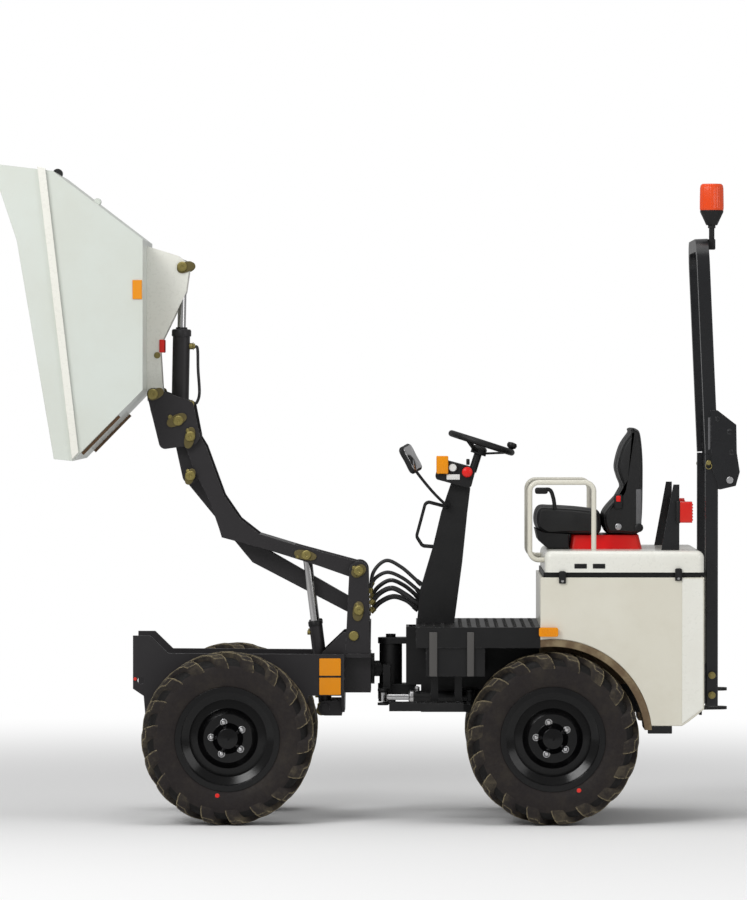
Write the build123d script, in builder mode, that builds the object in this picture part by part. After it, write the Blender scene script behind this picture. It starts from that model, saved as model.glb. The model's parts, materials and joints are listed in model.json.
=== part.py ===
"""Articulated site dumper with a high-tip skip, in millimetres.

X points forward to the skip, Y to the machine's left, Z up. The floor is Z = 0.
The skip stands raised and tipped on its parallelogram lift, as the machine is shown off.
"""
from build123d import *
import math
import os

os.makedirs("parts", exist_ok=True)

# ------------------------------------------------------------------ driving dimensions
# wheels
WHEELBASE = 1290.0
FRONT_AXLE_X = 551.0
TRACK = 784.0
TYRE_R = 343.0
TYRE_W = 216.0
RIM_SEAT_R = 190.5
RIM_FLANGE_R = 208.0
RIM_W = 186.0
RIM_T = 6.0
DISC_INSET = 34.0
HUB_R = 62.0
SPINDLE_R = 25.0
MOTOR_R = 88.0
AXLE_BEAM = 84.0

# fits
RUN = 0.3
SEAT_GAP = 0.3
PIN_PLAY = 0.3
MOVE_GAP = 5.0

# front frame
SIDE_PLATE_Y = 205.0
SIDE_PLATE_T = 15.0
FRAME_TOP_Z = 667.0
FRAME_REAR_X = 91.0
NOSE_X = 938.0
REST_TOP_Z = 742.0
PLATE_T = 12.0
NECK_HALF_W = 108.0
NECK_BOTTOM_Z = 508.0
NECK_REAR_X = -14.0
ROLL_Z = 600.0
ROLL_PIN_R = 32.0

# tower and parallelogram lift
TOWER_X = 34.0
LOWER_PIN_Z = 841.0
LINK_PITCH = 158.0
REACH_X = 677.0
REACH_Z = 541.0
TOWER_Y = 140.0
ARM_Y = 118.0
ARM_INNER_Y = 44.0
INNER_LUG_Y = 84.0
LOWER_ARM_HALF_W = 38.0
PIN_R = 18.0
EYE_R = 34.0

# tip linkage, offsets from the upper head pin
TIP_BASE_DX = 48.0
TIP_BASE_DZ = 63.0
HINGE_DX = 150.0
HINGE_DZ = 170.0
SKIP_HINGE_R = 27.7
HEAD_EYE_R = 24.0

# cylinders
TIP_BARREL_R = 35.0
TIP_ROD_R = 17.0
TIP_BARREL_L = 366.0
LIFT_Y = 86.0
LIFT_BARREL_R = 25.0
LIFT_ROD_R = 16.0
LIFT_BARREL_L = 350.0
LIFT_BASE_X = 168.0
LIFT_BASE_Z = 446.0
STEER_Y = 150.0
STEER_Z = 493.0
STEER_BARREL_R = 24.0
STEER_ROD_R = 12.0
CYL_EYE_HALF_W = 18.0
CYL_EYE_R = 24.0

# skip, in its own level frame about the hinge: u forward, w up
SKIP_WALL = 5.0
SKIP_HALF_FOLD = 480.0
SKIP_FLARE = 0.235
RIM_FLARE = 0.11
SKIP_FLOOR_W = 28.0
SKIP_FLOOR_U = (-616.0, -16.0)
SKIP_FRONT_TOP = (265.0, 303.0)
SKIP_LIP_FRONT = (257.0, 376.0)
SKIP_LIP_KINK = (-608.0, 522.0)
SKIP_LIP_REAR = (-912.0, 623.0)
SKIP_REAR_TOP = (-884.0, 380.0)
SKIP_FOLD_REAR = (-908.0, 441.0)
BRACKET_Y = 45.0
BRACKET_T = 14.0
TIP_PIN_U = -513.0
TIP_PIN_W = -114.0

# articulation
ARTIC_X = -94.0
ARTIC_R = 46.0
YOKE_LOW_Z = (477.0, 540.0)
YOKE_HIGH_Z = (702.0, 726.0)
YOKE_R = 52.0
KING_PIN_R = 20.0
STEER_LUG_DX = 30.0

# rear frame and body
BULKHEAD_X = -156.0
CHASSIS_Y = 112.0
CHASSIS_BOTTOM_Z = 430.0
BAY_FLOOR_Z = 560.0
TAIL_X = -1339.0
PANEL_Y = 440.0
PANEL_T = 12.0
BODY_FRONT_X = -690.0
BODY_TOP_Z = 983.0
BODY_BOTTOM_Z = 394.0
ARCH_R = 395.0
LINER_R = 366.0
LINER_WALL_Y = 200.0
PLATFORM_Z = 785.0
PLATFORM_Y = 440.0
PLATFORM_FRONT_X = -196.0
ENGINE_SIZE = (430.0, 380.0, 360.0)

# operator's place
COLUMN_TOP_Z = 1350.0
COLUMN_FOOT = (-200.0, PLATFORM_Z)
COLUMN_KNEE = (-212.0, 916.0)
CONSOLE_TILT = 15.0
CONSOLE_H = 84.0
COLUMN_HALF_W = 70.0
WHEEL_RAKE = 17.7
STEER_RIM_R = 140.0
STEER_TUBE_R = 13.0
STEER_CENTRE = (-461.0, 1512.0)
STEER_DISH = 48.0
STEER_SHAFT_R = 16.0
STEER_SHAFT_L = 74.0
SHAFT_END_GAP = 5.0

# hinged cover with the seat
COVER_GAP = 20.0
COVER_FRONT_X = -707.0
COVER_TOP_Z = 1089.0
COVER_SHEET = 8.0
SEAT_HALF_W = 235.0
RAIL_R = 10.0
RAIL_Y = 318.0
LAMP_POST_Y = 330.0

# roll hoop
HOOP_Y = 330.0
HOOP_TUBE = 50.0
HOOP_POST_X = -1373.0
HOOP_PIVOT = (-1444.0, 1368.0)
HOOP_SPLIT_Z = 1469.0
HOOP_TOP_Z = 2330.0
HOOP_LEAN = 2.5
BEACON_R = 48.0
BEACON_TOP_Z = 2551.0

# ------------------------------------------------------------------ places worked out
REAR_AXLE_X = FRONT_AXLE_X - WHEELBASE
AXLE_Z = TYRE_R
WHEEL_Y = TRACK / 2
T1 = (TOWER_X, LOWER_PIN_Z + LINK_PITCH)
T2 = (TOWER_X, LOWER_PIN_Z)
C = (T1[0] + REACH_X, T1[1] + REACH_Z)
D = (C[0], C[1] - LINK_PITCH)
B = (C[0] + TIP_BASE_DX, C[1] + TIP_BASE_DZ)
A = (C[0] + HINGE_DX, C[1] + HINGE_DZ)
R = (A[0] + TIP_PIN_W, A[1] - TIP_PIN_U)
F = (T1[0] + 211.0, T1[1] + 63.0)
G = (LIFT_BASE_X, LIFT_BASE_Z)
SIDE_PLATE_OUT = SIDE_PLATE_Y + SIDE_PLATE_T
HEAD_OUT = TOWER_Y + PLATE_T
TOWER_OUT = TOWER_Y + PLATE_T


def side(y):
    """The side-view plane at a given Y, with local x forward and local y up."""
    return Plane.XZ.offset(-y)


def link_plane(base, tip, y):
    """A plane at the base pin, with local z along the line to the tip pin."""
    direction = Vector(tip[0] - base[0], 0, tip[1] - base[1])
    return Plane(origin=(base[0], y, base[1]), x_dir=(0, 1, 0), z_dir=direction)


def span(a, b):
    """Distance between two side-view points."""
    return math.hypot(b[0] - a[0], b[1] - a[1])


# ------------------------------------------------------------------ wheels
# columns: corner tag, axle X, side (+1 left, -1 right)
CORNERS = (
    ("front_left", FRONT_AXLE_X, 1),
    ("front_right", FRONT_AXLE_X, -1),
    ("rear_left", REAR_AXLE_X, 1),
    ("rear_right", REAR_AXLE_X, -1),
)

for tag, axle_x, hand in CORNERS:
    wheel_plane = Plane(origin=(axle_x, hand * WHEEL_Y, AXLE_Z), x_dir=(0, hand, 0), z_dir=(hand, 0, 0))
    wheel_axis = Axis((axle_x, hand * WHEEL_Y, AXLE_Z), (0, 1, 0))
    half_w = TYRE_W / 2
    bead_w = RIM_W / 2 - RIM_T
    with BuildPart() as tyre:
        with BuildSketch(wheel_plane):
            with BuildLine():
                Polyline(
                    (-bead_w, RIM_SEAT_R + RUN),
                    (bead_w, RIM_SEAT_R + RUN),
                    (bead_w, RIM_FLANGE_R + 4),
                )
                ThreePointArc((bead_w, RIM_FLANGE_R + 4), (half_w - 4, 262), (half_w - 8, 318))
                Polyline(
                    (half_w - 8, 318),
                    (half_w - 24, TYRE_R),
                    (24 - half_w, TYRE_R),
                    (8 - half_w, 318),
                )
                ThreePointArc((8 - half_w, 318), (4 - half_w, 262), (-bead_w, RIM_FLANGE_R + 4))
                Line((-bead_w, RIM_FLANGE_R + 4), (-bead_w, RIM_SEAT_R + RUN))
            make_face()
        revolve(axis=wheel_axis)
    tyre.part.label = f"tyre_{tag}"
    export_step(tyre.part, f"parts/tyre_{tag}.step")

    flange_w = RIM_W / 2
    well_r = RIM_SEAT_R - 30
    with BuildPart() as rim:
        with BuildSketch(wheel_plane):
            Polygon(
                (-flange_w, RIM_FLANGE_R),
                (-bead_w - RUN, RIM_FLANGE_R),
                (-bead_w - RUN, RIM_SEAT_R),
                (-45, RIM_SEAT_R),
                (-30, well_r),
                (10, well_r),
                (26, RIM_SEAT_R),
                (bead_w + RUN, RIM_SEAT_R),
                (bead_w + RUN, RIM_FLANGE_R),
                (flange_w, RIM_FLANGE_R),
                (flange_w, RIM_SEAT_R - RIM_T),
                (30, RIM_SEAT_R - RIM_T),
                (13, well_r - RIM_T),
                (DISC_INSET - 14, 120),
                (DISC_INSET, 96),
                (DISC_INSET, HUB_R),
                (DISC_INSET + 22, 40),
                (DISC_INSET + 26, 0),
                (DISC_INSET - 18, 0),
                (DISC_INSET - 18, SPINDLE_R + RUN),
                (DISC_INSET - 78, SPINDLE_R + RUN),
                (DISC_INSET - 78, HUB_R),
                (DISC_INSET - 10, HUB_R),
                (DISC_INSET - 10, 94),
                (DISC_INSET - 24, 118),
                (DISC_INSET - 24, well_r - RIM_T),
                (-33, well_r - RIM_T),
                (-48, RIM_SEAT_R - RIM_T),
                (-flange_w, RIM_SEAT_R - RIM_T),
                align=None,
            )
        revolve(axis=wheel_axis)
    rim.part.label = f"rim_{tag}"
    export_step(rim.part, f"parts/rim_{tag}.step")

# ------------------------------------------------------------------ axles
MOTOR_END_Y = WHEEL_Y + DISC_INSET - 78 - MOVE_GAP
SPINDLE_END_Y = WHEEL_Y + DISC_INSET - 18 - 2
# columns: node, axle X, |Y| of the frame plates' inner faces
AXLES = (
    ("front_axle", FRONT_AXLE_X, SIDE_PLATE_Y),
    ("rear_axle", REAR_AXLE_X, CHASSIS_Y - PLATE_T),
)
for node, axle_x, plate_in in AXLES:
    with BuildPart() as axle:
        with BuildSketch(side(0)):
            with Locations((axle_x, AXLE_Z)):
                RectangleRounded(AXLE_BEAM, AXLE_BEAM, 10)
        extrude(amount=plate_in, both=True)
        with BuildSketch(side(0)):
            with Locations((axle_x, AXLE_Z)):
                Circle(AXLE_BEAM / 2 - 4)
        extrude(amount=SIDE_PLATE_OUT + 1, both=True)
        with BuildSketch(side(SIDE_PLATE_OUT)):
            with Locations((axle_x, AXLE_Z)):
                Circle(MOTOR_R)
        extrude(amount=-(MOTOR_END_Y - SIDE_PLATE_OUT))
        with BuildSketch(side(MOTOR_END_Y - 1)):
            with Locations((axle_x, AXLE_Z)):
                Circle(SPINDLE_R)
        extrude(amount=-(SPINDLE_END_Y - MOTOR_END_Y + 1))
        mirror(about=Plane.XZ)
    axle.part.label = node
    export_step(axle.part, f"parts/{node}.step")

# ------------------------------------------------------------------ front frame
AXLE_HOLE_R = AXLE_BEAM / 2 - 4 + RUN
TIE_DOWN = (NOSE_X - 32, 562.0)
TIE_DOWN_R = 14.0
with BuildPart() as front_frame:
    with BuildSketch(side(SIDE_PLATE_Y)):
        Polygon(
            (FRAME_REAR_X, FRAME_TOP_Z),
            (NOSE_X - 142, FRAME_TOP_Z + 4),
            (NOSE_X - 69, REST_TOP_Z),
            (NOSE_X, REST_TOP_Z),
            (NOSE_X, 529),
            (895, 500),
            (885, 380),
            (800, 296),
            (300, 290),
            (235, 501),
            (FRAME_REAR_X, 501),
            align=None,
        )
        with Locations((FRONT_AXLE_X, AXLE_Z)):
            Circle(AXLE_HOLE_R, mode=Mode.SUBTRACT)
        with Locations(TIE_DOWN):
            Circle(TIE_DOWN_R, mode=Mode.SUBTRACT)
    extrude(amount=-SIDE_PLATE_T)
    mirror(about=Plane.XZ)
    with BuildSketch(side(0)):
        with Locations((872, 402)):
            Circle(22)
    extrude(amount=SIDE_PLATE_Y + 1, both=True)
    with BuildSketch(Plane.YZ.offset(FRAME_REAR_X)):
        Polygon(
            (-SIDE_PLATE_OUT, FRAME_TOP_Z),
            (-SIDE_PLATE_OUT, 501),
            (-125, 430),
            (125, 430),
            (SIDE_PLATE_OUT, 501),
            (SIDE_PLATE_OUT, FRAME_TOP_Z),
            align=None,
        )
    extrude(amount=PLATE_T)
    with BuildSketch(Plane.XY.offset(FRAME_TOP_Z - 16)):
        with Locations(((NECK_REAR_X + FRAME_REAR_X + 1) / 2, 0)):
            Rectangle(FRAME_REAR_X - NECK_REAR_X + 1, 2 * TOWER_OUT + 16)
    extrude(amount=16)
    with BuildSketch(Plane.YZ.offset(NECK_REAR_X)):
        with Locations((0, (NECK_BOTTOM_Z + FRAME_TOP_Z) / 2)):
            Rectangle(2 * NECK_HALF_W, FRAME_TOP_Z - NECK_BOTTOM_Z)
    extrude(amount=FRAME_REAR_X - NECK_REAR_X + PLATE_T)
    with BuildSketch(Plane.YZ.offset(NECK_REAR_X)):
        with Locations((0, ROLL_Z)):
            Circle(ROLL_PIN_R + RUN)
    extrude(amount=FRAME_REAR_X - NECK_REAR_X + PLATE_T, mode=Mode.SUBTRACT)
    lug_in = LIFT_Y - LIFT_BARREL_R - MOVE_GAP - PLATE_T
    lug_out = LIFT_Y + LIFT_BARREL_R + MOVE_GAP
    for lug_y in (lug_in, lug_out):
        with BuildSketch(side(lug_y)):
            with Locations(G):
                Circle(EYE_R - 4)
            with Locations(((FRAME_REAR_X + PLATE_T + G[0]) / 2, G[1])):
                Rectangle(G[0] - FRAME_REAR_X - PLATE_T + 2, 2 * (EYE_R - 4))
        extrude(amount=-PLATE_T)
    with BuildSketch(side(lug_in - 8)):
        with Locations(G):
            Circle(PIN_R)
    extrude(amount=-(lug_out - lug_in + PLATE_T + 16))
    mirror(about=Plane.XZ)
front_frame.part.label = "front_frame"
export_step(front_frame.part, "parts/front_frame.step")

with BuildPart() as tower:
    for plate_y in (TOWER_Y, -TOWER_OUT):
        with BuildSketch(side(plate_y)):
            with Locations(T1):
                Circle(EYE_R + 4)
            with Locations(T2):
                Circle(EYE_R + 4)
            with Locations((NECK_REAR_X + 2 + 50, FRAME_TOP_Z + 1)):
                Rectangle(100, 2)
            make_hull()
        extrude(amount=-PLATE_T)
    with BuildSketch(side(0)):
        Polygon(
            (NECK_REAR_X + 2, FRAME_TOP_Z),
            (NECK_REAR_X + 12, FRAME_TOP_Z),
            (NECK_REAR_X + 10, LOWER_PIN_Z - EYE_R - 12),
            (NECK_REAR_X, LOWER_PIN_Z - EYE_R - 12),
            align=None,
        )
    extrude(amount=TOWER_Y + 1, both=True)
    for pin in (T1, T2):
        with BuildSketch(side(0)):
            with Locations(pin):
                Circle(PIN_R)
        extrude(amount=TOWER_OUT + 10, both=True)
tower.part.label = "tower"
export_step(tower.part, "parts/tower.step")

# ------------------------------------------------------------------ upper arm
ELBOW_LOW = (T1[0] + 560, T1[1] + 145)
ELBOW_TOP = (T1[0] + 470, T1[1] + 178)
with BuildPart() as upper_arm:
    for inner in (ARM_Y, -ARM_Y - PLATE_T):
        with BuildSketch(side(inner)):
            Polygon(
                (T1[0] - 4, T1[1] + EYE_R),
                (T1[0] + 235, T1[1] + 98),
                (T1[0] + 400, T1[1] + 148),
                (T1[0] + 478, T1[1] + 209),
                (T1[0] + 543, T1[1] + 304),
                (C[0] - 62, C[1] - 40),
                (C[0] - EYE_R, C[1] + 6),
                (C[0] + EYE_R, C[1] - 4),
                (C[0] - 12, C[1] - 130),
                (T1[0] + 600, T1[1] + 280),
                (T1[0] + 563, T1[1] + 173),
                (T1[0] + 551, T1[1] + 134),
                (T1[0] + 389, T1[1] + 91),
                (T1[0] + 171, T1[1] + 23),
                (T1[0] + 8, T1[1] - EYE_R),
                align=None,
            )
            with Locations(T1, C):
                Circle(EYE_R)
            with Locations(T1, C):
                Circle(PIN_R + PIN_PLAY, mode=Mode.SUBTRACT)
        extrude(amount=-PLATE_T)
    for inner in (ARM_INNER_Y, -ARM_INNER_Y - PLATE_T):
        with BuildSketch(side(inner)):
            Polygon(
                (T1[0] - 4, T1[1] + EYE_R),
                (T1[0] + 235, T1[1] + 98),
                (T1[0] + 400, T1[1] + 148),
                (T1[0] + 389, T1[1] + 110),
                (T1[0] + 171, T1[1] + 23),
                (T1[0] + 8, T1[1] - EYE_R),
                align=None,
            )
            with Locations(T1):
                Circle(EYE_R)
            with Locations(T1):
                Circle(PIN_R + PIN_PLAY, mode=Mode.SUBTRACT)
        extrude(amount=-PLATE_T)
    with BuildSketch(side(0)):
        with Locations(T1):
            Circle(EYE_R - 6)
            Circle(PIN_R + PIN_PLAY, mode=Mode.SUBTRACT)
    extrude(amount=TOWER_Y - 1, both=True)
    with BuildSketch(side(0)):
        Polygon(
            (T1[0] + 256, T1[1] + 104),
            (T1[0] + 400, T1[1] + 148),
            (T1[0] + 403, T1[1] + 139),
            (T1[0] + 259, T1[1] + 95),
            align=None,
        )
    extrude(amount=ARM_Y + 1, both=True)
    boss_in = LIFT_Y + CYL_EYE_HALF_W + MOVE_GAP
    for start, end in ((boss_in, ARM_Y), (-ARM_Y, -boss_in)):
        with BuildSketch(side(start)):
            with Locations(F):
                Circle(PIN_R)
        extrude(amount=start - end)
upper_arm.part.label = "upper_arm"
export_step(upper_arm.part, "parts/upper_arm.step")

# ------------------------------------------------------------------ lower arm
with BuildPart() as lower_arm:
    with BuildSketch(side(0)):
        Polygon(
            (T2[0] + 4, T2[1] + 31),
            (T2[0] + 377, T2[1] + 245),
            (D[0] - 30, D[1] + 10),
            (D[0] + 24, D[1] - 22),
            (T2[0] + 466, T2[1] + 232),
            (T2[0] + 430, T2[1] + 189),
            (T2[0] + 8, T2[1] - 31),
            align=None,
        )
    extrude(amount=LOWER_ARM_HALF_W, both=True)
    for pin, reach in ((T2, TOWER_Y - 1), (D, INNER_LUG_Y - 1)):
        with BuildSketch(side(0)):
            with Locations(pin):
                Circle(EYE_R - 4)
        extrude(amount=reach, both=True)
    for pin, reach in ((T2, TOWER_Y), (D, INNER_LUG_Y)):
        with BuildSketch(side(0)):
            with Locations(pin):
                Circle(PIN_R + PIN_PLAY)
        extrude(amount=reach, both=True, mode=Mode.SUBTRACT)
lower_arm.part.label = "lower_arm"
export_step(lower_arm.part, "parts/lower_arm.step")

# ------------------------------------------------------------------ headstock
# columns: centre, radius of each round corner of the head's outer plates
HEAD_OUTLINE = (
    (A, HEAD_EYE_R),
    (C, EYE_R + 3),
    ((A[0] - 50, A[1] - 195), 26),
    ((A[0] - 140, A[1] - 50), 24),
)
B_SPACER_Y = TIP_BARREL_R + MOVE_GAP
with BuildPart() as headstock:
    for inner in (TOWER_Y, -HEAD_OUT):
        with BuildSketch(side(inner)):
            for centre, radius in HEAD_OUTLINE:
                with Locations(centre):
                    Circle(radius)
            make_hull()
        extrude(amount=-PLATE_T)
    for inner in (INNER_LUG_Y, -INNER_LUG_Y - PLATE_T):
        with BuildSketch(side(inner)):
            for centre, radius in ((A, HEAD_EYE_R), (C, EYE_R + 2), (B, EYE_R)):
                with Locations(centre):
                    Circle(radius)
            make_hull()
        extrude(amount=-PLATE_T)
        with BuildSketch(side(inner)):
            for centre, radius in (((C[0] + 20, C[1] - 20), EYE_R + 10), (D, EYE_R)):
                with Locations(centre):
                    Circle(radius)
            make_hull()
        extrude(amount=-PLATE_T)
    for centre, half in ((A, HEAD_OUT + 10), (C, HEAD_OUT + 10), (B, HEAD_OUT + 10), (D, INNER_LUG_Y + PLATE_T + 8)):
        with BuildSketch(side(0)):
            with Locations(centre):
                Circle(PIN_R)
        extrude(amount=half, both=True)
    # the two upper arm pins don't run across the tip cylinder's space
    with BuildSketch(side(0)):
        with Locations(C):
            Circle(PIN_R)
    extrude(amount=INNER_LUG_Y, both=True, mode=Mode.SUBTRACT)
    for start in (B_SPACER_Y, -INNER_LUG_Y):
        with BuildSketch(side(start)):
            with Locations(B):
                Circle(PIN_R + 8)
        extrude(amount=-(INNER_LUG_Y - B_SPACER_Y))
    with BuildSketch(side(0)):
        Polygon(
            (A[0] - 1, A[1] - 62),
            (A[0] + 11, A[1] - 60),
            (A[0] - 25, A[1] - 190),
            (A[0] - 37, A[1] - 186),
            align=None,
        )
    extrude(amount=HEAD_OUT - 1, both=True)
headstock.part.label = "headstock"
export_step(headstock.part, "parts/headstock.step")

# ------------------------------------------------------------------ skip
# The level frame turned up about the hinge: local x forward is world down, local y up is forward.
SKIP_SIDE = Plane(origin=(A[0], 0, A[1]), x_dir=(0, 0, -1), z_dir=(0, -1, 0))
FOLD_DIR = Vector(SKIP_FOLD_REAR[0] - SKIP_FRONT_TOP[0], SKIP_FOLD_REAR[1] - SKIP_FRONT_TOP[1], 0).normalized()
FOLD_START = SKIP_SIDE.from_local_coords(Vector(SKIP_FRONT_TOP[0], SKIP_FRONT_TOP[1], 0))
FOLD_RUN = SKIP_SIDE.from_local_coords(
    Vector(SKIP_FRONT_TOP[0] + FOLD_DIR.X, SKIP_FRONT_TOP[1] + FOLD_DIR.Y, 0)
) - FOLD_START
SKIP_CROSS = Plane(origin=FOLD_START - FOLD_RUN * 200, x_dir=(0, 1, 0), z_dir=FOLD_RUN)
CROSS_DEPTH = 460.0
RIM_REACH = 240.0
CROSS_UP = 1 if SKIP_CROSS.y_dir.X > 0 else -1


def skip_cross(inset):
    """Cross-section of the skip looking along its fold, drawn in by the wall's thickness."""
    low = SKIP_HALF_FOLD - CROSS_DEPTH * SKIP_FLARE - inset
    fold = SKIP_HALF_FOLD - inset
    top = SKIP_HALF_FOLD + RIM_REACH * RIM_FLARE - inset
    return (
        (-low, -CROSS_DEPTH * CROSS_UP),
        (low, -CROSS_DEPTH * CROSS_UP),
        (fold, 0),
        (top, RIM_REACH * CROSS_UP),
        (-top, RIM_REACH * CROSS_UP),
        (-fold, 0),
    )


SKIP_OUTLINE = (
    (SKIP_FLOOR_U[0], SKIP_FLOOR_W),
    (SKIP_FLOOR_U[1], SKIP_FLOOR_W),
    SKIP_FRONT_TOP,
    SKIP_LIP_FRONT,
    SKIP_LIP_KINK,
    SKIP_LIP_REAR,
    SKIP_REAR_TOP,
)
# the open mouth: the end walls carried on past the lip, so that the cavity opens upwards
MOUTH = 160.0
SKIP_CAVITY = (
    (SKIP_FLOOR_U[0], SKIP_FLOOR_W),
    (SKIP_FLOOR_U[1], SKIP_FLOOR_W),
    SKIP_FRONT_TOP,
    (SKIP_LIP_FRONT[0] - 0.11 * MOUTH, SKIP_LIP_FRONT[1] + MOUTH),
    (SKIP_LIP_KINK[0], SKIP_LIP_KINK[1] + MOUTH),
    (SKIP_LIP_REAR[0] - 0.115 * MOUTH, SKIP_LIP_REAR[1] + MOUTH),
    SKIP_REAR_TOP,
)

with BuildPart() as skip_core:
    with BuildSketch(SKIP_SIDE):
        Polygon(*SKIP_CAVITY, align=None)
        offset(amount=-SKIP_WALL, kind=Kind.INTERSECTION, mode=Mode.REPLACE)
    extrude(amount=SKIP_HALF_FOLD + 100, both=True)
    with BuildSketch(SKIP_CROSS):
        Polygon(*skip_cross(SKIP_WALL), align=None)
    extrude(amount=1800, mode=Mode.INTERSECT)

with BuildPart() as skip_wrap:
    with BuildSketch(SKIP_SIDE):
        Polygon(*SKIP_OUTLINE, align=None)
    extrude(amount=SKIP_HALF_FOLD + 100, both=True)
    with BuildSketch(SKIP_CROSS):
        Polygon(*skip_cross(SKIP_WALL), align=None)
    extrude(amount=1800, mode=Mode.INTERSECT)
    add(skip_core.part, mode=Mode.SUBTRACT)
skip_wrap.part.label = "skip_floor_and_ends"
export_step(skip_wrap.part, "parts/skip_floor_and_ends.step")

with BuildPart() as skip_sides:
    with BuildSketch(SKIP_SIDE):
        Polygon(*SKIP_OUTLINE, align=None)
    extrude(amount=SKIP_HALF_FOLD + 100, both=True)
    with BuildSketch(SKIP_CROSS):
        Polygon(*skip_cross(0), align=None)
    extrude(amount=1800, mode=Mode.INTERSECT)
    with BuildSketch(SKIP_CROSS):
        Polygon(*skip_cross(SKIP_WALL), align=None)
    extrude(amount=1800, mode=Mode.SUBTRACT)
skip_sides.part.label = "skip_sides"
export_step(skip_sides.part, "parts/skip_sides.step")


def skip_side(y):
    """The skip's own side-view plane at a given Y."""
    return SKIP_SIDE.offset(-y)


with BuildPart() as skip_bracket:
    for inner in (BRACKET_Y, -BRACKET_Y - BRACKET_T):
        with BuildSketch(skip_side(inner)):
            Polygon(
                (SKIP_FLOOR_U[0] + 20, SKIP_FLOOR_W),
                (TIP_PIN_U - 44, TIP_PIN_W + 16),
                (TIP_PIN_U - 8, TIP_PIN_W - 32),
                (TIP_PIN_U + 103, TIP_PIN_W - 16),
                (-193, -25),
                (0, -37),
                (30, SKIP_FLOOR_W - 2),
                (-4, SKIP_FLOOR_W),
                align=None,
            )
            with Locations((0, 0)):
                Circle(PIN_R + PIN_PLAY, mode=Mode.SUBTRACT)
        extrude(amount=-BRACKET_T)
    with BuildSketch(skip_side(0)):
        Circle(SKIP_HINGE_R)
        Circle(PIN_R + PIN_PLAY, mode=Mode.SUBTRACT)
    extrude(amount=INNER_LUG_Y - 1, both=True)
    for start in (CYL_EYE_HALF_W + MOVE_GAP + 12, -BRACKET_Y):
        with BuildSketch(skip_side(start)):
            with Locations((TIP_PIN_U, TIP_PIN_W)):
                Circle(PIN_R + 4)
        extrude(amount=-(BRACKET_Y - CYL_EYE_HALF_W - MOVE_GAP - 12))
    for start in (BRACKET_Y + BRACKET_T, -BRACKET_Y - BRACKET_T - 10):
        with BuildSketch(skip_side(start)):
            with Locations((TIP_PIN_U, TIP_PIN_W)):
                Circle(PIN_R)
        extrude(amount=-10)
skip_bracket.part.label = "skip_bracket"
export_step(skip_bracket.part, "parts/skip_bracket.step")

# ------------------------------------------------------------------ cylinders
TIP_LINE = link_plane(B, R, 0)
TIP_LENGTH = span(B, R)
TIP_EYE_R = 30.0
TIP_EYE_HALF_W = TIP_BARREL_R
with BuildPart() as tip_barrel:
    with BuildSketch(TIP_LINE.offset(TIP_EYE_R - 6)):
        Circle(TIP_BARREL_R)
    extrude(amount=TIP_BARREL_L - TIP_EYE_R + 6)
    with BuildSketch(side(0)):
        with Locations(B):
            Circle(TIP_EYE_R)
    extrude(amount=TIP_EYE_HALF_W, both=True)
    with BuildSketch(side(0)):
        with Locations(B):
            Circle(PIN_R + PIN_PLAY)
    extrude(amount=TIP_BARREL_R + 5, both=True, mode=Mode.SUBTRACT)
    with BuildSketch(TIP_LINE.offset(TIP_BARREL_L - 240)):
        Circle(TIP_ROD_R + RUN)
    extrude(amount=240, mode=Mode.SUBTRACT)
tip_barrel.part.label = "tip_cylinder_barrel"
export_step(tip_barrel.part, "parts/tip_cylinder_barrel.step")

with BuildPart() as tip_rod:
    with BuildSketch(TIP_LINE.offset(TIP_BARREL_L - 25)):
        Circle(TIP_ROD_R)
    extrude(amount=TIP_LENGTH - TIP_BARREL_L + 25 - TIP_EYE_R + 8)
    with BuildSketch(side(0)):
        with Locations(R):
            Circle(TIP_EYE_R)
            Circle(PIN_R, mode=Mode.SUBTRACT)
    extrude(amount=CYL_EYE_HALF_W + 11, both=True)
tip_rod.part.label = "tip_cylinder_rod"
export_step(tip_rod.part, "parts/tip_cylinder_rod.step")

LIFT_LENGTH = span(G, F)
with BuildPart() as lift_barrels:
    for y in (LIFT_Y, -LIFT_Y):
        line = link_plane(G, F, y)
        with BuildSketch(line.offset(CYL_EYE_R - 6)):
            Circle(LIFT_BARREL_R)
        extrude(amount=LIFT_BARREL_L - CYL_EYE_R + 6)
        with BuildSketch(side(y)):
            with Locations(G):
                Circle(CYL_EYE_R)
        extrude(amount=LIFT_BARREL_R, both=True)
        with BuildSketch(line.offset(LIFT_BARREL_L - 265)):
            Circle(LIFT_ROD_R + RUN)
        extrude(amount=275, mode=Mode.SUBTRACT)
    with BuildSketch(side(0)):
        with Locations(G):
            Circle(PIN_R + PIN_PLAY)
    extrude(amount=LIFT_Y + 40, both=True, mode=Mode.SUBTRACT)
lift_barrels.part.label = "lift_cylinder_barrels"
export_step(lift_barrels.part, "parts/lift_cylinder_barrels.step")

with BuildPart() as lift_rods:
    for y in (LIFT_Y, -LIFT_Y):
        line = link_plane(G, F, y)
        with BuildSketch(line.offset(LIFT_BARREL_L - 25)):
            Circle(LIFT_ROD_R)
        extrude(amount=LIFT_LENGTH - LIFT_BARREL_L + 25 - CYL_EYE_R + 8)
        with BuildSketch(side(y)):
            with Locations(F):
                Circle(CYL_EYE_R)
                Circle(13, mode=Mode.SUBTRACT)
        extrude(amount=CYL_EYE_HALF_W, both=True)
lift_rods.part.label = "lift_cylinder_rods"
export_step(lift_rods.part, "parts/lift_cylinder_rods.step")


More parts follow.
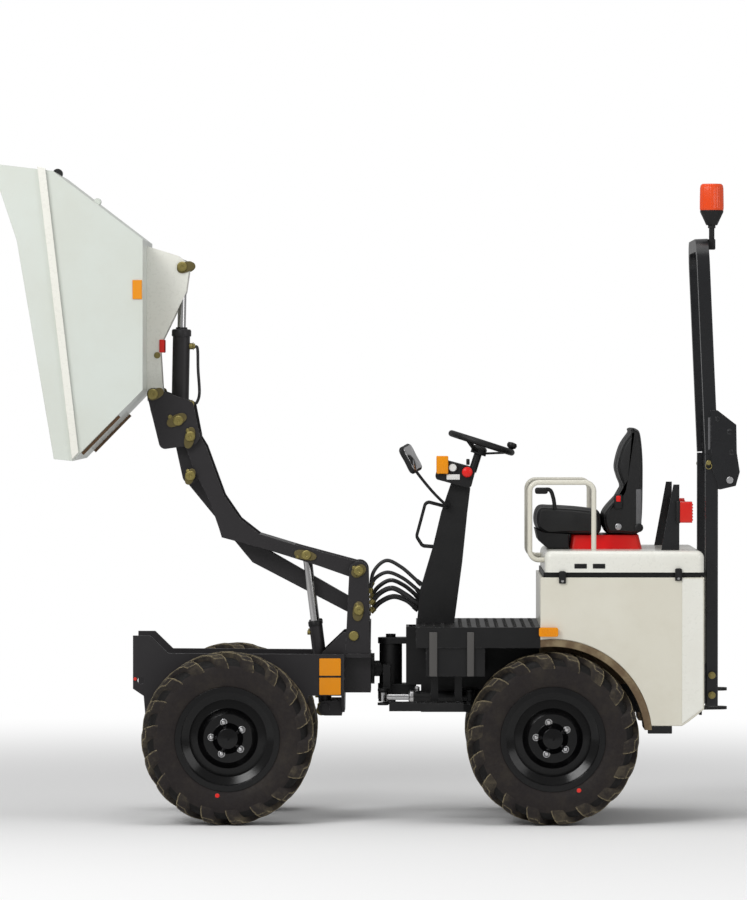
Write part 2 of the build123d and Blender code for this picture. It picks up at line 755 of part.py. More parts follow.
# ------------------------------------------------------------------ articulation block
LUG = (ARTIC_X + STEER_LUG_DX, STEER_Y)
LUG_GAP = CYL_EYE_HALF_W + MOVE_GAP
LUG_T = 10.0
LUG_ARM_Z = (YOKE_LOW_Z[1] + 20, YOKE_LOW_Z[1] + 80)
with BuildPart() as artic_block:
    with BuildSketch(Plane.XY.offset(YOKE_LOW_Z[1] + RUN)):
        with Locations((ARTIC_X, 0)):
            Circle(ARTIC_R)
    extrude(amount=YOKE_HIGH_Z[0] - YOKE_LOW_Z[1] - 2 * RUN)
    with BuildSketch(Plane.XY.offset(YOKE_LOW_Z[0] - 14)):
        with Locations((ARTIC_X, 0)):
            Circle(KING_PIN_R)
    extrude(amount=YOKE_HIGH_Z[1] - YOKE_LOW_Z[0] + 28)
    with BuildSketch(Plane.YZ.offset(ARTIC_X)):
        with Locations((0, ROLL_Z)):
            Circle(ROLL_PIN_R)
    extrude(amount=FRAME_REAR_X + PLATE_T + 22 - ARTIC_X)
    with BuildSketch(Plane.YZ.offset(NECK_REAR_X - RUN - 14)):
        with Locations((0, ROLL_Z)):
            Circle(ROLL_PIN_R + 30)
    extrude(amount=14)
    with BuildSketch(Plane.YZ.offset(FRAME_REAR_X + PLATE_T + RUN)):
        with Locations((0, ROLL_Z)):
            RegularPolygon(ROLL_PIN_R + 14, 6)
    extrude(amount=18)
    with BuildSketch(Plane.XY.offset(LUG_ARM_Z[0])):
        with Locations((ARTIC_X + 16, ARTIC_R)):
            Rectangle(30, 96)
    extrude(amount=LUG_ARM_Z[1] - LUG_ARM_Z[0])
    with BuildSketch(Plane.XY.offset(STEER_Z - LUG_GAP - LUG_T)):
        with Locations((ARTIC_X + 16, ARTIC_R + 40)):
            Rectangle(30, 16)
    extrude(amount=LUG_ARM_Z[1] - STEER_Z + LUG_GAP + LUG_T)
    for low in (STEER_Z - LUG_GAP - LUG_T, STEER_Z + LUG_GAP):
        with BuildSketch(Plane.XY.offset(low)):
            with Locations((ARTIC_X + 16, ARTIC_R + 36)):
                Circle(8)
            with Locations(LUG):
                Circle(22)
            make_hull()
        extrude(amount=LUG_T)
artic_block.part.label = "artic_block"
export_step(artic_block.part, "parts/artic_block.step")

# ------------------------------------------------------------------ rear frame
CHASSIS_IN_Y = CHASSIS_Y - PLATE_T
STEER_BASE = (-415.0, STEER_Y)
CHASSIS_END_X = TAIL_X + PANEL_T
DECK_Z = PLATFORM_Z - PANEL_T
with BuildPart() as rear_frame:
    with BuildSketch(side(CHASSIS_IN_Y)):
        Polygon(
            (BULKHEAD_X, YOKE_LOW_Z[1]),
            (BULKHEAD_X, DECK_Z),
            (BODY_FRONT_X - 10, DECK_Z),
            (BODY_FRONT_X - 10, BAY_FLOOR_Z),
            (CHASSIS_END_X, BAY_FLOOR_Z),
            (CHASSIS_END_X, CHASSIS_BOTTOM_Z),
            (REAR_AXLE_X - 120, CHASSIS_BOTTOM_Z),
            (REAR_AXLE_X - 80, AXLE_Z - AXLE_BEAM / 2 - 20),
            (REAR_AXLE_X + 80, AXLE_Z - AXLE_BEAM / 2 - 20),
            (REAR_AXLE_X + 120, CHASSIS_BOTTOM_Z),
            (BULKHEAD_X - 60, CHASSIS_BOTTOM_Z),
            (BULKHEAD_X - 60, YOKE_LOW_Z[1]),
            align=None,
        )
        with Locations((REAR_AXLE_X, AXLE_Z)):
            Circle(AXLE_HOLE_R, mode=Mode.SUBTRACT)
    extrude(amount=-PLATE_T)
    mirror(about=Plane.XZ)
    # front bulkhead, narrow below so that the steering lug swings past it
    with BuildSketch(Plane.YZ.offset(BULKHEAD_X)):
        Polygon(
            (-CHASSIS_Y, DECK_Z),
            (CHASSIS_Y, DECK_Z),
            (CHASSIS_Y, YOKE_LOW_Z[1]),
            (YOKE_R, YOKE_LOW_Z[1]),
            (YOKE_R, YOKE_LOW_Z[0]),
            (-YOKE_R, YOKE_LOW_Z[0]),
            (-YOKE_R, YOKE_LOW_Z[1]),
            (-CHASSIS_Y, YOKE_LOW_Z[1]),
            align=None,
        )
    extrude(amount=-PLATE_T)
    for low, high in (YOKE_LOW_Z, YOKE_HIGH_Z):
        with BuildSketch(Plane.XY.offset(low)):
            with Locations((ARTIC_X, 0)):
                Circle(YOKE_R)
            with Locations((BULKHEAD_X - 20, 0)):
                Rectangle(42, 2 * YOKE_R)
            make_hull()
            with Locations((ARTIC_X, 0)):
                Circle(KING_PIN_R + RUN, mode=Mode.SUBTRACT)
        extrude(amount=high - low)
    # floor, cross members and tail plate
    # columns: X from, X to, Z from, Z to, half width
    for x_from, x_to, z_from, z_to, half_w in (
        (BULKHEAD_X - 60, BULKHEAD_X - 72, CHASSIS_BOTTOM_Z, YOKE_HIGH_Z[0], CHASSIS_IN_Y + 1),
        (BULKHEAD_X, BULKHEAD_X - 62, YOKE_LOW_Z[0], YOKE_LOW_Z[0] + PLATE_T, YOKE_R),
        (BODY_FRONT_X - 10, BODY_FRONT_X + 2, CHASSIS_BOTTOM_Z, DECK_Z, CHASSIS_IN_Y + 1),
        (CHASSIS_END_X, CHASSIS_END_X + PLATE_T, CHASSIS_BOTTOM_Z, BAY_FLOOR_Z, CHASSIS_IN_Y + 1),
        (BODY_FRONT_X - 10, CHASSIS_END_X, BAY_FLOOR_Z - PLATE_T, BAY_FLOOR_Z, LINER_WALL_Y),
    ):
        with BuildSketch(side(0)):
            with Locations(((x_from + x_to) / 2, (z_from + z_to) / 2)):
                Rectangle(abs(x_to - x_from), z_to - z_from)
        extrude(amount=half_w, both=True)
    # steering cylinder's base lugs on the left side plate
    for low in (STEER_Z - LUG_GAP + 4 - LUG_T, STEER_Z + LUG_GAP - 4):
        with BuildSketch(Plane.XY.offset(low)):
            with Locations(STEER_BASE):
                Circle(22)
            with Locations((STEER_BASE[0], CHASSIS_Y)):
                Rectangle(70, 2)
            make_hull()
        extrude(amount=LUG_T)
    with BuildSketch(Plane.XY.offset(STEER_Z - LUG_GAP - LUG_T)):
        with Locations(STEER_BASE):
            Circle(11)
    extrude(amount=2 * (LUG_GAP + LUG_T))
rear_frame.part.label = "rear_frame"
export_step(rear_frame.part, "parts/rear_frame.step")

# ------------------------------------------------------------------ steering cylinder
STEER_SPAN = LUG[0] - STEER_BASE[0]
STEER_BARREL_L = STEER_SPAN - 106
STEER_LINE = Plane(origin=(STEER_BASE[0], STEER_Y, STEER_Z), x_dir=(0, 1, 0), z_dir=(1, 0, 0))
with BuildPart() as steer_barrel:
    with BuildSketch(STEER_LINE.offset(12)):
        Circle(CYL_EYE_HALF_W - 3)
    extrude(amount=30)
    with BuildSketch(STEER_LINE.offset(30)):
        Circle(STEER_BARREL_R)
    extrude(amount=STEER_BARREL_L - 30)
    with BuildSketch(Plane.XY.offset(STEER_Z)):
        with Locations(STEER_BASE):
            Circle(20)
    extrude(amount=CYL_EYE_HALF_W - 1, both=True)
    with BuildSketch(Plane.XY.offset(STEER_Z)):
        with Locations(STEER_BASE):
            Circle(11 + PIN_PLAY)
    extrude(amount=STEER_BARREL_R + 5, both=True, mode=Mode.SUBTRACT)
    with BuildSketch(STEER_LINE.offset(44)):
        Circle(STEER_ROD_R + RUN)
    extrude(amount=STEER_BARREL_L, mode=Mode.SUBTRACT)
steer_barrel.part.label = "steer_cylinder_barrel"
export_step(steer_barrel.part, "parts/steer_cylinder_barrel.step")

with BuildPart() as steer_rod:
    with BuildSketch(STEER_LINE.offset(STEER_BARREL_L - 110)):
        Circle(STEER_ROD_R)
    extrude(amount=STEER_SPAN - STEER_BARREL_L + 110 - 12)
    with BuildSketch(Plane.XY.offset(STEER_Z)):
        with Locations(LUG):
            Circle(19)
            Circle(11, mode=Mode.SUBTRACT)
    extrude(amount=CYL_EYE_HALF_W, both=True)
steer_rod.part.label = "steer_cylinder_rod"
export_step(steer_rod.part, "parts/steer_cylinder_rod.step")

# ------------------------------------------------------------------ platform, steps and side boxes
SIDE_BOX_X = (-470.0, -236.0)
SIDE_BOX_Z = 590.0
STEP_X = (REAR_AXLE_X + 354.0, ARTIC_X + 4.0)
STEP_Y = (352.0, 440.0)
STEP_Z = (452.0, 486.0)
with BuildPart() as platform:
    with BuildSketch(Plane.XY.offset(DECK_Z)):
        with Locations(((PLATFORM_FRONT_X + BODY_FRONT_X) / 2, 0)):
            Rectangle(PLATFORM_FRONT_X - BODY_FRONT_X, 2 * PLATFORM_Y)
    extrude(amount=PANEL_T)
    with BuildSketch(Plane.XY.offset(DECK_Z - 70)):
        with Locations(((PLATFORM_FRONT_X + BODY_FRONT_X) / 2, PLATFORM_Y - 4)):
            Rectangle(PLATFORM_FRONT_X - BODY_FRONT_X, 8)
        with Locations((PLATFORM_FRONT_X - 4, (PLATFORM_Y + CHASSIS_Y) / 2 + 1)):
            Rectangle(8, PLATFORM_Y - CHASSIS_Y - 2)
    extrude(amount=71)
    mirror(about=Plane.XZ)
platform.part.label = "platform"
export_step(platform.part, "parts/platform.step")

with BuildPart() as side_boxes:
    with BuildSketch(Plane.XY.offset(SIDE_BOX_Z)):
        with Locations((sum(SIDE_BOX_X) / 2, (CHASSIS_Y + PLATFORM_Y - 8 - RUN) / 2)):
            Rectangle(SIDE_BOX_X[1] - SIDE_BOX_X[0], PLATFORM_Y - 8 - RUN - CHASSIS_Y)
    extrude(amount=DECK_Z - SIDE_BOX_Z)
    mirror(about=Plane.XZ)
side_boxes.part.label = "side_boxes"
export_step(side_boxes.part, "parts/side_boxes.step")

with BuildPart() as steps:
    with BuildSketch(Plane.XY.offset(STEP_Z[0])):
        with Locations((sum(STEP_X) / 2, sum(STEP_Y) / 2)):
            Rectangle(STEP_X[1] - STEP_X[0], STEP_Y[1] - STEP_Y[0])
    extrude(amount=STEP_Z[1] - STEP_Z[0])
    with BuildSketch(Plane.XY.offset(STEP_Z[1] - 4)):
        with Locations((STEP_X[1] - 180, STEP_Y[0] + 3), (STEP_X[0] + 20, STEP_Y[0] + 3)):
            Rectangle(30, 6)
    extrude(amount=SIDE_BOX_Z - STEP_Z[1] + 4)
    mirror(about=Plane.XZ)
steps.part.label = "steps"
export_step(steps.part, "parts/steps.step")

# ------------------------------------------------------------------ body
with BuildPart() as side_panels:
    with BuildSketch(side(PANEL_Y - PANEL_T)):
        Polygon(
            (BODY_FRONT_X, AXLE_Z + ARCH_R - 10),
            (BODY_FRONT_X, BODY_TOP_Z),
            (TAIL_X + 30, BODY_TOP_Z),
            (TAIL_X, BODY_TOP_Z - 30),
            (TAIL_X, BODY_BOTTOM_Z),
            (REAR_AXLE_X - 380, BODY_BOTTOM_Z),
            (REAR_AXLE_X - 200, AXLE_Z),
            (REAR_AXLE_X, AXLE_Z),
            align=None,
        )
        with Locations((REAR_AXLE_X, AXLE_Z)):
            Circle(ARCH_R, mode=Mode.SUBTRACT)
    extrude(amount=-PANEL_T)
    mirror(about=Plane.XZ)
side_panels.part.label = "side_panels"
export_step(side_panels.part, "parts/side_panels.step")

with BuildPart() as end_panels:
    with BuildSketch(Plane.XY.offset(DECK_Z)):
        with Locations((BODY_FRONT_X - PANEL_T / 2, 0)):
            Rectangle(PANEL_T, 2 * (PANEL_Y - PANEL_T))
    extrude(amount=BODY_TOP_Z - DECK_Z)
    with BuildSketch(Plane.XY.offset(BODY_BOTTOM_Z)):
        with Locations((TAIL_X + PANEL_T / 2, 0)):
            Rectangle(PANEL_T, 2 * (PANEL_Y - PANEL_T))
    extrude(amount=BODY_TOP_Z - BODY_BOTTOM_Z - 30)
end_panels.part.label = "end_panels"
export_step(end_panels.part, "parts/end_panels.step")

# a band over each rear tyre and the wall inboard of it
with BuildPart() as arch_liners:
    with BuildSketch(side(LINER_WALL_Y)):
        with Locations((REAR_AXLE_X, AXLE_Z)):
            Circle(ARCH_R - RUN)
            Circle(LINER_R, mode=Mode.SUBTRACT)
        with Locations(((BODY_FRONT_X + TAIL_X) / 2, (BODY_BOTTOM_Z + BODY_TOP_Z) / 2 - 16)):
            Rectangle(BODY_FRONT_X - TAIL_X, BODY_TOP_Z - BODY_BOTTOM_Z, mode=Mode.INTERSECT)
    extrude(amount=-(PANEL_Y - LINER_WALL_Y))
    with BuildSketch(side(LINER_WALL_Y)):
        with Locations((REAR_AXLE_X, AXLE_Z)):
            Circle(ARCH_R - RUN)
        with Locations(((BODY_FRONT_X + TAIL_X) / 2, BAY_FLOOR_Z - PLATE_T + 200)):
            Rectangle(BODY_FRONT_X - TAIL_X, 400, mode=Mode.INTERSECT)
    extrude(amount=-PANEL_T / 2)
    mirror(about=Plane.XZ)
arch_liners.part.label = "arch_liners"
export_step(arch_liners.part, "parts/arch_liners.step")

with BuildPart() as bay_frame:
    with BuildSketch(Plane.XY.offset(BODY_TOP_Z - 40)):
        with Locations(((BODY_FRONT_X + TAIL_X) / 2, 0)):
            Rectangle(BODY_FRONT_X - TAIL_X - 2 * PANEL_T, 2 * (PANEL_Y - PANEL_T))
            Rectangle(BODY_FRONT_X - TAIL_X - 2 * PANEL_T - 60, 2 * (PANEL_Y - PANEL_T) - 60, mode=Mode.SUBTRACT)
    extrude(amount=40 + COVER_GAP - RUN)
bay_frame.part.label = "bay_frame"
export_step(bay_frame.part, "parts/bay_frame.step")

with BuildPart() as engine:
    with BuildSketch(Plane.XY.offset(BAY_FLOOR_Z)):
        with Locations(((BODY_FRONT_X + TAIL_X) / 2 - 40, 0)):
            Rectangle(ENGINE_SIZE[0], ENGINE_SIZE[1])
    extrude(amount=ENGINE_SIZE[2])
engine.part.label = "engine_block"
export_step(engine.part, "parts/engine_block.step")

# ------------------------------------------------------------------ column, console, mirror
with BuildPart() as column:
    with BuildSketch(side(0)):
        Polygon(
            COLUMN_FOOT,
            COLUMN_KNEE,
            (-265, 1094),
            (-298, 1232),
            (-338, COLUMN_TOP_Z),
            (-415, COLUMN_TOP_Z - 77 * math.tan(math.radians(CONSOLE_TILT))),
            (-403, 1232),
            (-383, 1034),
            (-362, 876),
            (-350, PLATFORM_Z),
            align=None,
        )
    extrude(amount=COLUMN_HALF_W, both=True)
    with BuildLine() as handle_path:
        FilletPolyline(
            (-312, COLUMN_HALF_W - 12, 1256),
            (-236, COLUMN_HALF_W - 12, 1276),
            (-198, COLUMN_HALF_W - 12, 1134),
            (-222, COLUMN_HALF_W - 12, 1096),
            (-275, COLUMN_HALF_W - 12, 1092),
            radius=18,
        )
    with BuildSketch(Plane(origin=handle_path.line @ 0, z_dir=handle_path.line % 0)) as handle_end:
        Circle(6)
    sweep(sections=handle_end.sketch, path=handle_path.line)
    mirror(about=Plane.XZ)
column.part.label = "steering_column"
export_step(column.part, "parts/steering_column.step")

tilt = math.radians(CONSOLE_TILT)
CONSOLE_PLANE = Plane(
    origin=(-338, 0, COLUMN_TOP_Z),
    x_dir=(math.cos(tilt), 0, math.sin(tilt)),
    z_dir=(0, -1, 0),
)
rake = math.radians(WHEEL_RAKE)
STEER_AXIS = Vector(-math.sin(rake), 0, math.cos(rake))
STEER_PLANE = Plane(origin=(STEER_CENTRE[0], 0, STEER_CENTRE[1]), x_dir=(0, 1, 0), z_dir=STEER_AXIS)
with BuildPart() as console:
    with BuildSketch(CONSOLE_PLANE):
        with Locations((-6, SEAT_GAP + CONSOLE_H / 2)):
            RectangleRounded(150, CONSOLE_H, 14)
    extrude(amount=118, both=True)
    with BuildSketch(STEER_PLANE.offset(-STEER_DISH)):
        Circle(STEER_SHAFT_R + RUN)
    extrude(amount=-STEER_SHAFT_L - SHAFT_END_GAP, mode=Mode.SUBTRACT)
console.part.label = "console"
export_step(console.part, "parts/console.step")

MIRROR_Y = 120.0
with BuildPart() as mirror_head:
    with BuildSketch(side(MIRROR_Y)):
        with Locations((-172, 1457)):
            RectangleRounded(52, 118, 16)
    extrude(amount=-130)
    with BuildSketch(side(MIRROR_Y - 14)):
        with Locations((-190, 1410)):
            Circle(6)
        with Locations((-318, 1262)):
            Circle(9)
        make_hull()
    extrude(amount=-14)
    with BuildSketch(side(COLUMN_HALF_W)):
        with Locations((-318, 1262)):
            Circle(13)
    extrude(amount=-(MIRROR_Y - COLUMN_HALF_W))
mirror_head.part.label = "mirror"
export_step(mirror_head.part, "parts/mirror.step")

# ------------------------------------------------------------------ steering wheel
with BuildPart() as steering_wheel:
    with BuildSketch(Plane(origin=STEER_PLANE.origin, x_dir=(0, 1, 0), z_dir=STEER_AXIS.cross(Vector(0, 1, 0)))):
        with Locations((STEER_RIM_R - STEER_TUBE_R, 0)):
            Circle(STEER_TUBE_R)
    revolve(axis=Axis(STEER_PLANE.origin, STEER_AXIS))
    with BuildSketch(STEER_PLANE.offset(-STEER_DISH)):
        Circle(32)
    extrude(amount=18)
    with BuildSketch(STEER_PLANE.offset(-STEER_DISH)):
        Circle(STEER_SHAFT_R)
    extrude(amount=-STEER_SHAFT_L)
    for angle in (90, 210, 330):
        arm_dir = STEER_PLANE.x_dir.rotate(Axis((0, 0, 0), STEER_AXIS), angle)
        hub_end = STEER_PLANE.origin - STEER_AXIS * (STEER_DISH - 9) + arm_dir * 20
        rim_end = STEER_PLANE.origin + arm_dir * (STEER_RIM_R - STEER_TUBE_R)
        with BuildSketch(Plane(origin=hub_end, x_dir=STEER_AXIS.cross(arm_dir), z_dir=rim_end - hub_end)):
            RectangleRounded(24, 9, 3)
        extrude(amount=(rim_end - hub_end).length)
steering_wheel.part.label = "steering_wheel"
export_step(steering_wheel.part, "parts/steering_wheel.step")

# ------------------------------------------------------------------ hinged cover with the seat
COVER_BOTTOM_Z = BODY_TOP_Z + COVER_GAP
with BuildPart() as bonnet:
    with BuildSketch(Plane.XY.offset(COVER_BOTTOM_Z)):
        with Locations(((COVER_FRONT_X + TAIL_X) / 2, 0)):
            Rectangle(COVER_FRONT_X - TAIL_X, 2 * PANEL_Y)
    extrude(amount=COVER_TOP_Z - COVER_BOTTOM_Z)
    fillet(bonnet.edges().group_by(Axis.Z)[-1] + bonnet.edges().filter_by(Axis.Z), 28)
    offset(amount=-COVER_SHEET, openings=bonnet.faces().sort_by(Axis.Z)[0])
bonnet.part.label = "bonnet"
export_step(bonnet.part, "parts/bonnet.step")

SEAT_BASE_TOP_Z = COVER_TOP_Z + 56
with BuildPart() as seat_base:
    with BuildSketch(Plane.XY.offset(COVER_TOP_Z)):
        with Locations((-956, 0)):
            RectangleRounded(292, 400, 20)
    with BuildSketch(Plane.XY.offset(SEAT_BASE_TOP_Z)):
        with Locations((-954, 0)):
            RectangleRounded(270, 380, 20)
    loft()
seat_base.part.label = "seat_base"
export_step(seat_base.part, "parts/seat_base.step")

with BuildPart() as cushion:
    with BuildSketch(side(0)):
        Polygon(
            (-730, SEAT_BASE_TOP_Z + RUN),
            (-668, 1195),
            (-682, 1248),
            (-730, 1263),
            (-930, 1238),
            (-946, SEAT_BASE_TOP_Z + RUN),
            align=None,
        )
    extrude(amount=SEAT_HALF_W, both=True)
cushion.part.label = "seat_cushion"
export_step(cushion.part, "parts/seat_cushion.step")

with BuildPart() as backrest:
    with BuildSketch(side(0)):
        Polygon(
            (-947, SEAT_BASE_TOP_Z + RUN),
            (-932, 1240),
            (-1016, 1310),
            (-1006, 1358),
            (-990, 1421),
            (-1019, 1508),
            (-1059, 1568),
            (-1108, 1579),
            (-1112, 1252),
            (-1100, SEAT_BASE_TOP_Z + RUN),
            align=None,
        )
    extrude(amount=SEAT_HALF_W - 10, both=True)
backrest.part.label = "seat_back"
export_step(backrest.part, "parts/seat_back.step")

with BuildPart() as rails:
    with BuildLine() as rail_path:
        FilletPolyline(
            (COVER_FRONT_X, RAIL_Y, COVER_TOP_Z - 40),
            (-650, RAIL_Y, COVER_TOP_Z - 40),
            (-650, RAIL_Y, 1358),
            (-905, RAIL_Y, 1358),
            (-905, RAIL_Y, COVER_TOP_Z),
            radius=36,
        )
    with BuildSketch(Plane(origin=rail_path.line @ 0, z_dir=rail_path.line % 0)):
        Circle(RAIL_R)
    sweep()
    mirror(about=Plane.XZ)
rails.part.label = "hand_rails"
export_step(rails.part, "parts/hand_rails.step")

LAMP_X = -1245.0
with BuildPart() as lamp_posts:
    with BuildSketch(side(LAMP_POST_Y)):
        Polygon(
            (-1173, COVER_TOP_Z),
            (-1221, 1350),
            (LAMP_X, 1350),
            (LAMP_X, COVER_TOP_Z),
            align=None,
        )
    extrude(amount=-8)
    mirror(about=Plane.XZ)
lamp_posts.part.label = "lamp_posts"
export_step(lamp_posts.part, "parts/lamp_posts.step")

with BuildPart() as tail_lamps:
    with BuildSketch(Plane.YZ.offset(LAMP_X)):
        with Locations((LAMP_POST_Y, 1240)):
            RectangleRounded(72, 84, 8)
    extrude(amount=-50)
    mirror(about=Plane.XZ)
tail_lamps.part.label = "tail_lamps"
export_step(tail_lamps.part, "parts/tail_lamps.step")

# ------------------------------------------------------------------ roll hoop
HINGE_PLATE_T = 8.0
POST_HALF = HOOP_TUBE / 2 - RUN
POST_FRONT_X = HOOP_POST_X + HOOP_TUBE / 2
POST_BOTTOM_Z = 469.0
with BuildPart() as hoop_posts:
    with BuildSketch(Plane.XY.offset(POST_BOTTOM_Z)):
        with Locations((HOOP_POST_X, HOOP_Y)):
            RectangleRounded(HOOP_TUBE, 2 * POST_HALF, 6)
    extrude(amount=HOOP_SPLIT_Z - POST_BOTTOM_Z)
    with BuildSketch(Plane.YZ.offset(TAIL_X)):
        with Locations((HOOP_Y, POST_BOTTOM_Z + 90)):
            RectangleRounded(96, 160, 8)
    extrude(amount=POST_FRONT_X - TAIL_X)
    with BuildSketch(side(HOOP_Y - POST_HALF)):
        with Locations(HOOP_PIVOT):
            Circle(24)
        with Locations((HOOP_POST_X, HOOP_PIVOT[1] - 4)):
            Rectangle(30, 70)
        make_hull()
        with Locations(HOOP_PIVOT):
            Circle(8 + PIN_PLAY, mode=Mode.SUBTRACT)
    extrude(amount=-2 * POST_HALF)
    mirror(about=Plane.XZ)
hoop_posts.part.label = "hoop_posts"
export_step(hoop_posts.part, "parts/hoop_posts.step")

LEAN = math.radians(HOOP_LEAN)
HOOP_PLANE = Plane(
    origin=(HOOP_POST_X, 0, HOOP_SPLIT_Z + MOVE_GAP),
    x_dir=(0, 1, 0),
    z_dir=(math.cos(LEAN), 0, -math.sin(LEAN)),
)
HOOP_RISE = (HOOP_TOP_Z - HOOP_SPLIT_Z - MOVE_GAP) / math.cos(LEAN) - HOOP_TUBE / 2
with BuildPart() as hoop:
    with BuildLine(HOOP_PLANE) as hoop_path:
        FilletPolyline(
            (HOOP_Y, 0),
            (HOOP_Y, HOOP_RISE),
            (-HOOP_Y, HOOP_RISE),
            (-HOOP_Y, 0),
            radius=95,
        )
    with BuildSketch(Plane(origin=hoop_path.line @ 0, x_dir=(0, 1, 0), z_dir=hoop_path.line % 0)):
        Rectangle(HOOP_TUBE, HOOP_TUBE)
    sweep()
    for inner in (HOOP_Y - HOOP_TUBE / 2 - HINGE_PLATE_T, HOOP_Y + HOOP_TUBE / 2):
        with BuildSketch(side(inner)):
            Polygon(
                (HOOP_POST_X + 6, 1646),
                (HOOP_POST_X - 22, 1646),
                (HOOP_PIVOT[0] - 26, 1588),
                (HOOP_PIVOT[0] - 28, 1478),
                (HOOP_PIVOT[0] - 40, 1400),
                (HOOP_PIVOT[0] - 24, 1345),
                (HOOP_PIVOT[0] + 40, 1330),
                (HOOP_POST_X + 2, 1420),
                align=None,
            )
        extrude(amount=-HINGE_PLATE_T)
    with BuildSketch(side(HOOP_Y - HOOP_TUBE / 2 - HINGE_PLATE_T - 6)):
        with Locations(HOOP_PIVOT):
            Circle(8)
    extrude(amount=-(HOOP_TUBE + 2 * HINGE_PLATE_T + 12))
    mirror(about=Plane.XZ)
hoop.part.label = "roll_hoop"
export_step(hoop.part, "parts/roll_hoop.step")

BEACON_Y = HOOP_Y - 100
BEACON_X = HOOP_POST_X + (HOOP_TOP_Z - HOOP_SPLIT_Z) * math.tan(LEAN) - HOOP_TUBE / 2 - 18
with BuildPart() as beacon:
    with BuildSketch(HOOP_PLANE.offset(-HOOP_TUBE / 2)):
        with Locations((BEACON_Y, HOOP_RISE)):
            RectangleRounded(44, 40, 5)
    extrude(amount=-36)
    with BuildSketch(Plane.XY.offset(HOOP_TOP_Z - 20)):
        with Locations((BEACON_X, BEACON_Y)):
            Circle(12)
    extrude(amount=90)
    with BuildSketch(side(BEACON_Y)):
        Polygon(
            (BEACON_X, HOOP_TOP_Z + 55),
            (BEACON_X + 22, HOOP_TOP_Z + 58),
            (BEACON_X + BEACON_R, HOOP_TOP_Z + 112),
            (BEACON_X + BEACON_R - 6, BEACON_TOP_Z - 26),
            (BEACON_X + 26, BEACON_TOP_Z),
            (BEACON_X, BEACON_TOP_Z),
            align=None,
        )
    revolve(axis=Axis((BEACON_X, BEACON_Y, 0), (0, 0, 1)))
beacon.part.label = "beacon"
export_step(beacon.part, "parts/beacon.step")

# ------------------------------------------------------------------ lamps, reflectors and hitch
with BuildPart() as side_lamps:
    with BuildSketch(side(PANEL_Y)):
        with Locations((-722, 767)):
            RectangleRounded(76, 36, 8)
    extrude(amount=-22)
    mirror(about=Plane.XZ)
side_lamps.part.label = "side_lamps"
export_step(side_lamps.part, "parts/side_lamps.step")

with BuildPart() as amber_plates:
    with BuildSketch(side(SIDE_PLATE_OUT)):
        with Locations((148, 578)):
            RectangleRounded(86, 146, 4)
    extrude(amount=-5)
    mirror(about=Plane.XZ)
amber_plates.part.label = "amber_plates"
export_step(amber_plates.part, "parts/amber_plates.step")

HITCH_Z = 480.0
HITCH_BORE_R = 13.0
with BuildPart() as tow_hitch:
    for low in (HITCH_Z - 44, HITCH_Z + 32):
        with BuildSketch(Plane.XY.offset(low)):
            with Locations((TAIL_X - 80, 0)):
                Circle(34)
            with Locations((TAIL_X - 5, 0)):
                Rectangle(10, 110)
            make_hull()
            with Locations((TAIL_X - 80, 0)):
                Circle(HITCH_BORE_R, mode=Mode.SUBTRACT)
        extrude(amount=12)
    with BuildSketch(Plane.YZ.offset(TAIL_X)):
        with Locations((0, HITCH_Z)):
            RectangleRounded(130, 130, 10)
    extrude(amount=-10)
tow_hitch.part.label = "tow_hitch"
export_step(tow_hitch.part, "parts/tow_hitch.step")

# ------------------------------------------------------------------ hoses over the pivot
HOSE_BEND = 26.0
# columns: Y, height over the pivot, drop behind, hose radius
HOSES = (
    (34.0, 940.0, 900.0, 9.0),
    (-34.0, 925.0, 880.0, 9.0),
    (0.0, 880.0, 850.0, 11.0),
)
face_out = (Vector(COLUMN_KNEE[1] - COLUMN_FOOT[1], 0, COLUMN_FOOT[0] - COLUMN_KNEE[0])).normalized()
with BuildPart() as hoses:
    for hose_y, crest_z, rear_z, hose_r in HOSES:
        lean = (rear_z - COLUMN_FOOT[1]) / (COLUMN_KNEE[1] - COLUMN_FOOT[1])
        face_x = COLUMN_FOOT[0] + lean * (COLUMN_KNEE[0] - COLUMN_FOOT[0])
        hose_end = Vector(face_x, hose_y, rear_z)
        with BuildLine() as hose_path:
            FilletPolyline(
                (NECK_REAR_X + 8, hose_y, crest_z - 60),
                (NECK_REAR_X - 60, hose_y, crest_z),
                (ARTIC_X + 10, hose_y, crest_z),
                hose_end + face_out * 40,
                hose_end - face_out * 12,
                radius=HOSE_BEND,
            )
        with BuildSketch(Plane(origin=hose_path.line @ 0, z_dir=hose_path.line % 0)):
            Circle(hose_r)
        sweep(path=hose_path.line)
    column_face = Vector(COLUMN_FOOT[0], 0, COLUMN_FOOT[1]) + face_out * SEAT_GAP
    split(bisect_by=Plane(origin=column_face, x_dir=(0, 1, 0), z_dir=face_out), keep=Keep.TOP)
hoses.part.label = "pivot_hoses"
export_step(hoses.part, "parts/pivot_hoses.step")
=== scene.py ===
"""Looks for the articulated site dumper, built around its packed frame. Metres, +X forwards, +Z up."""

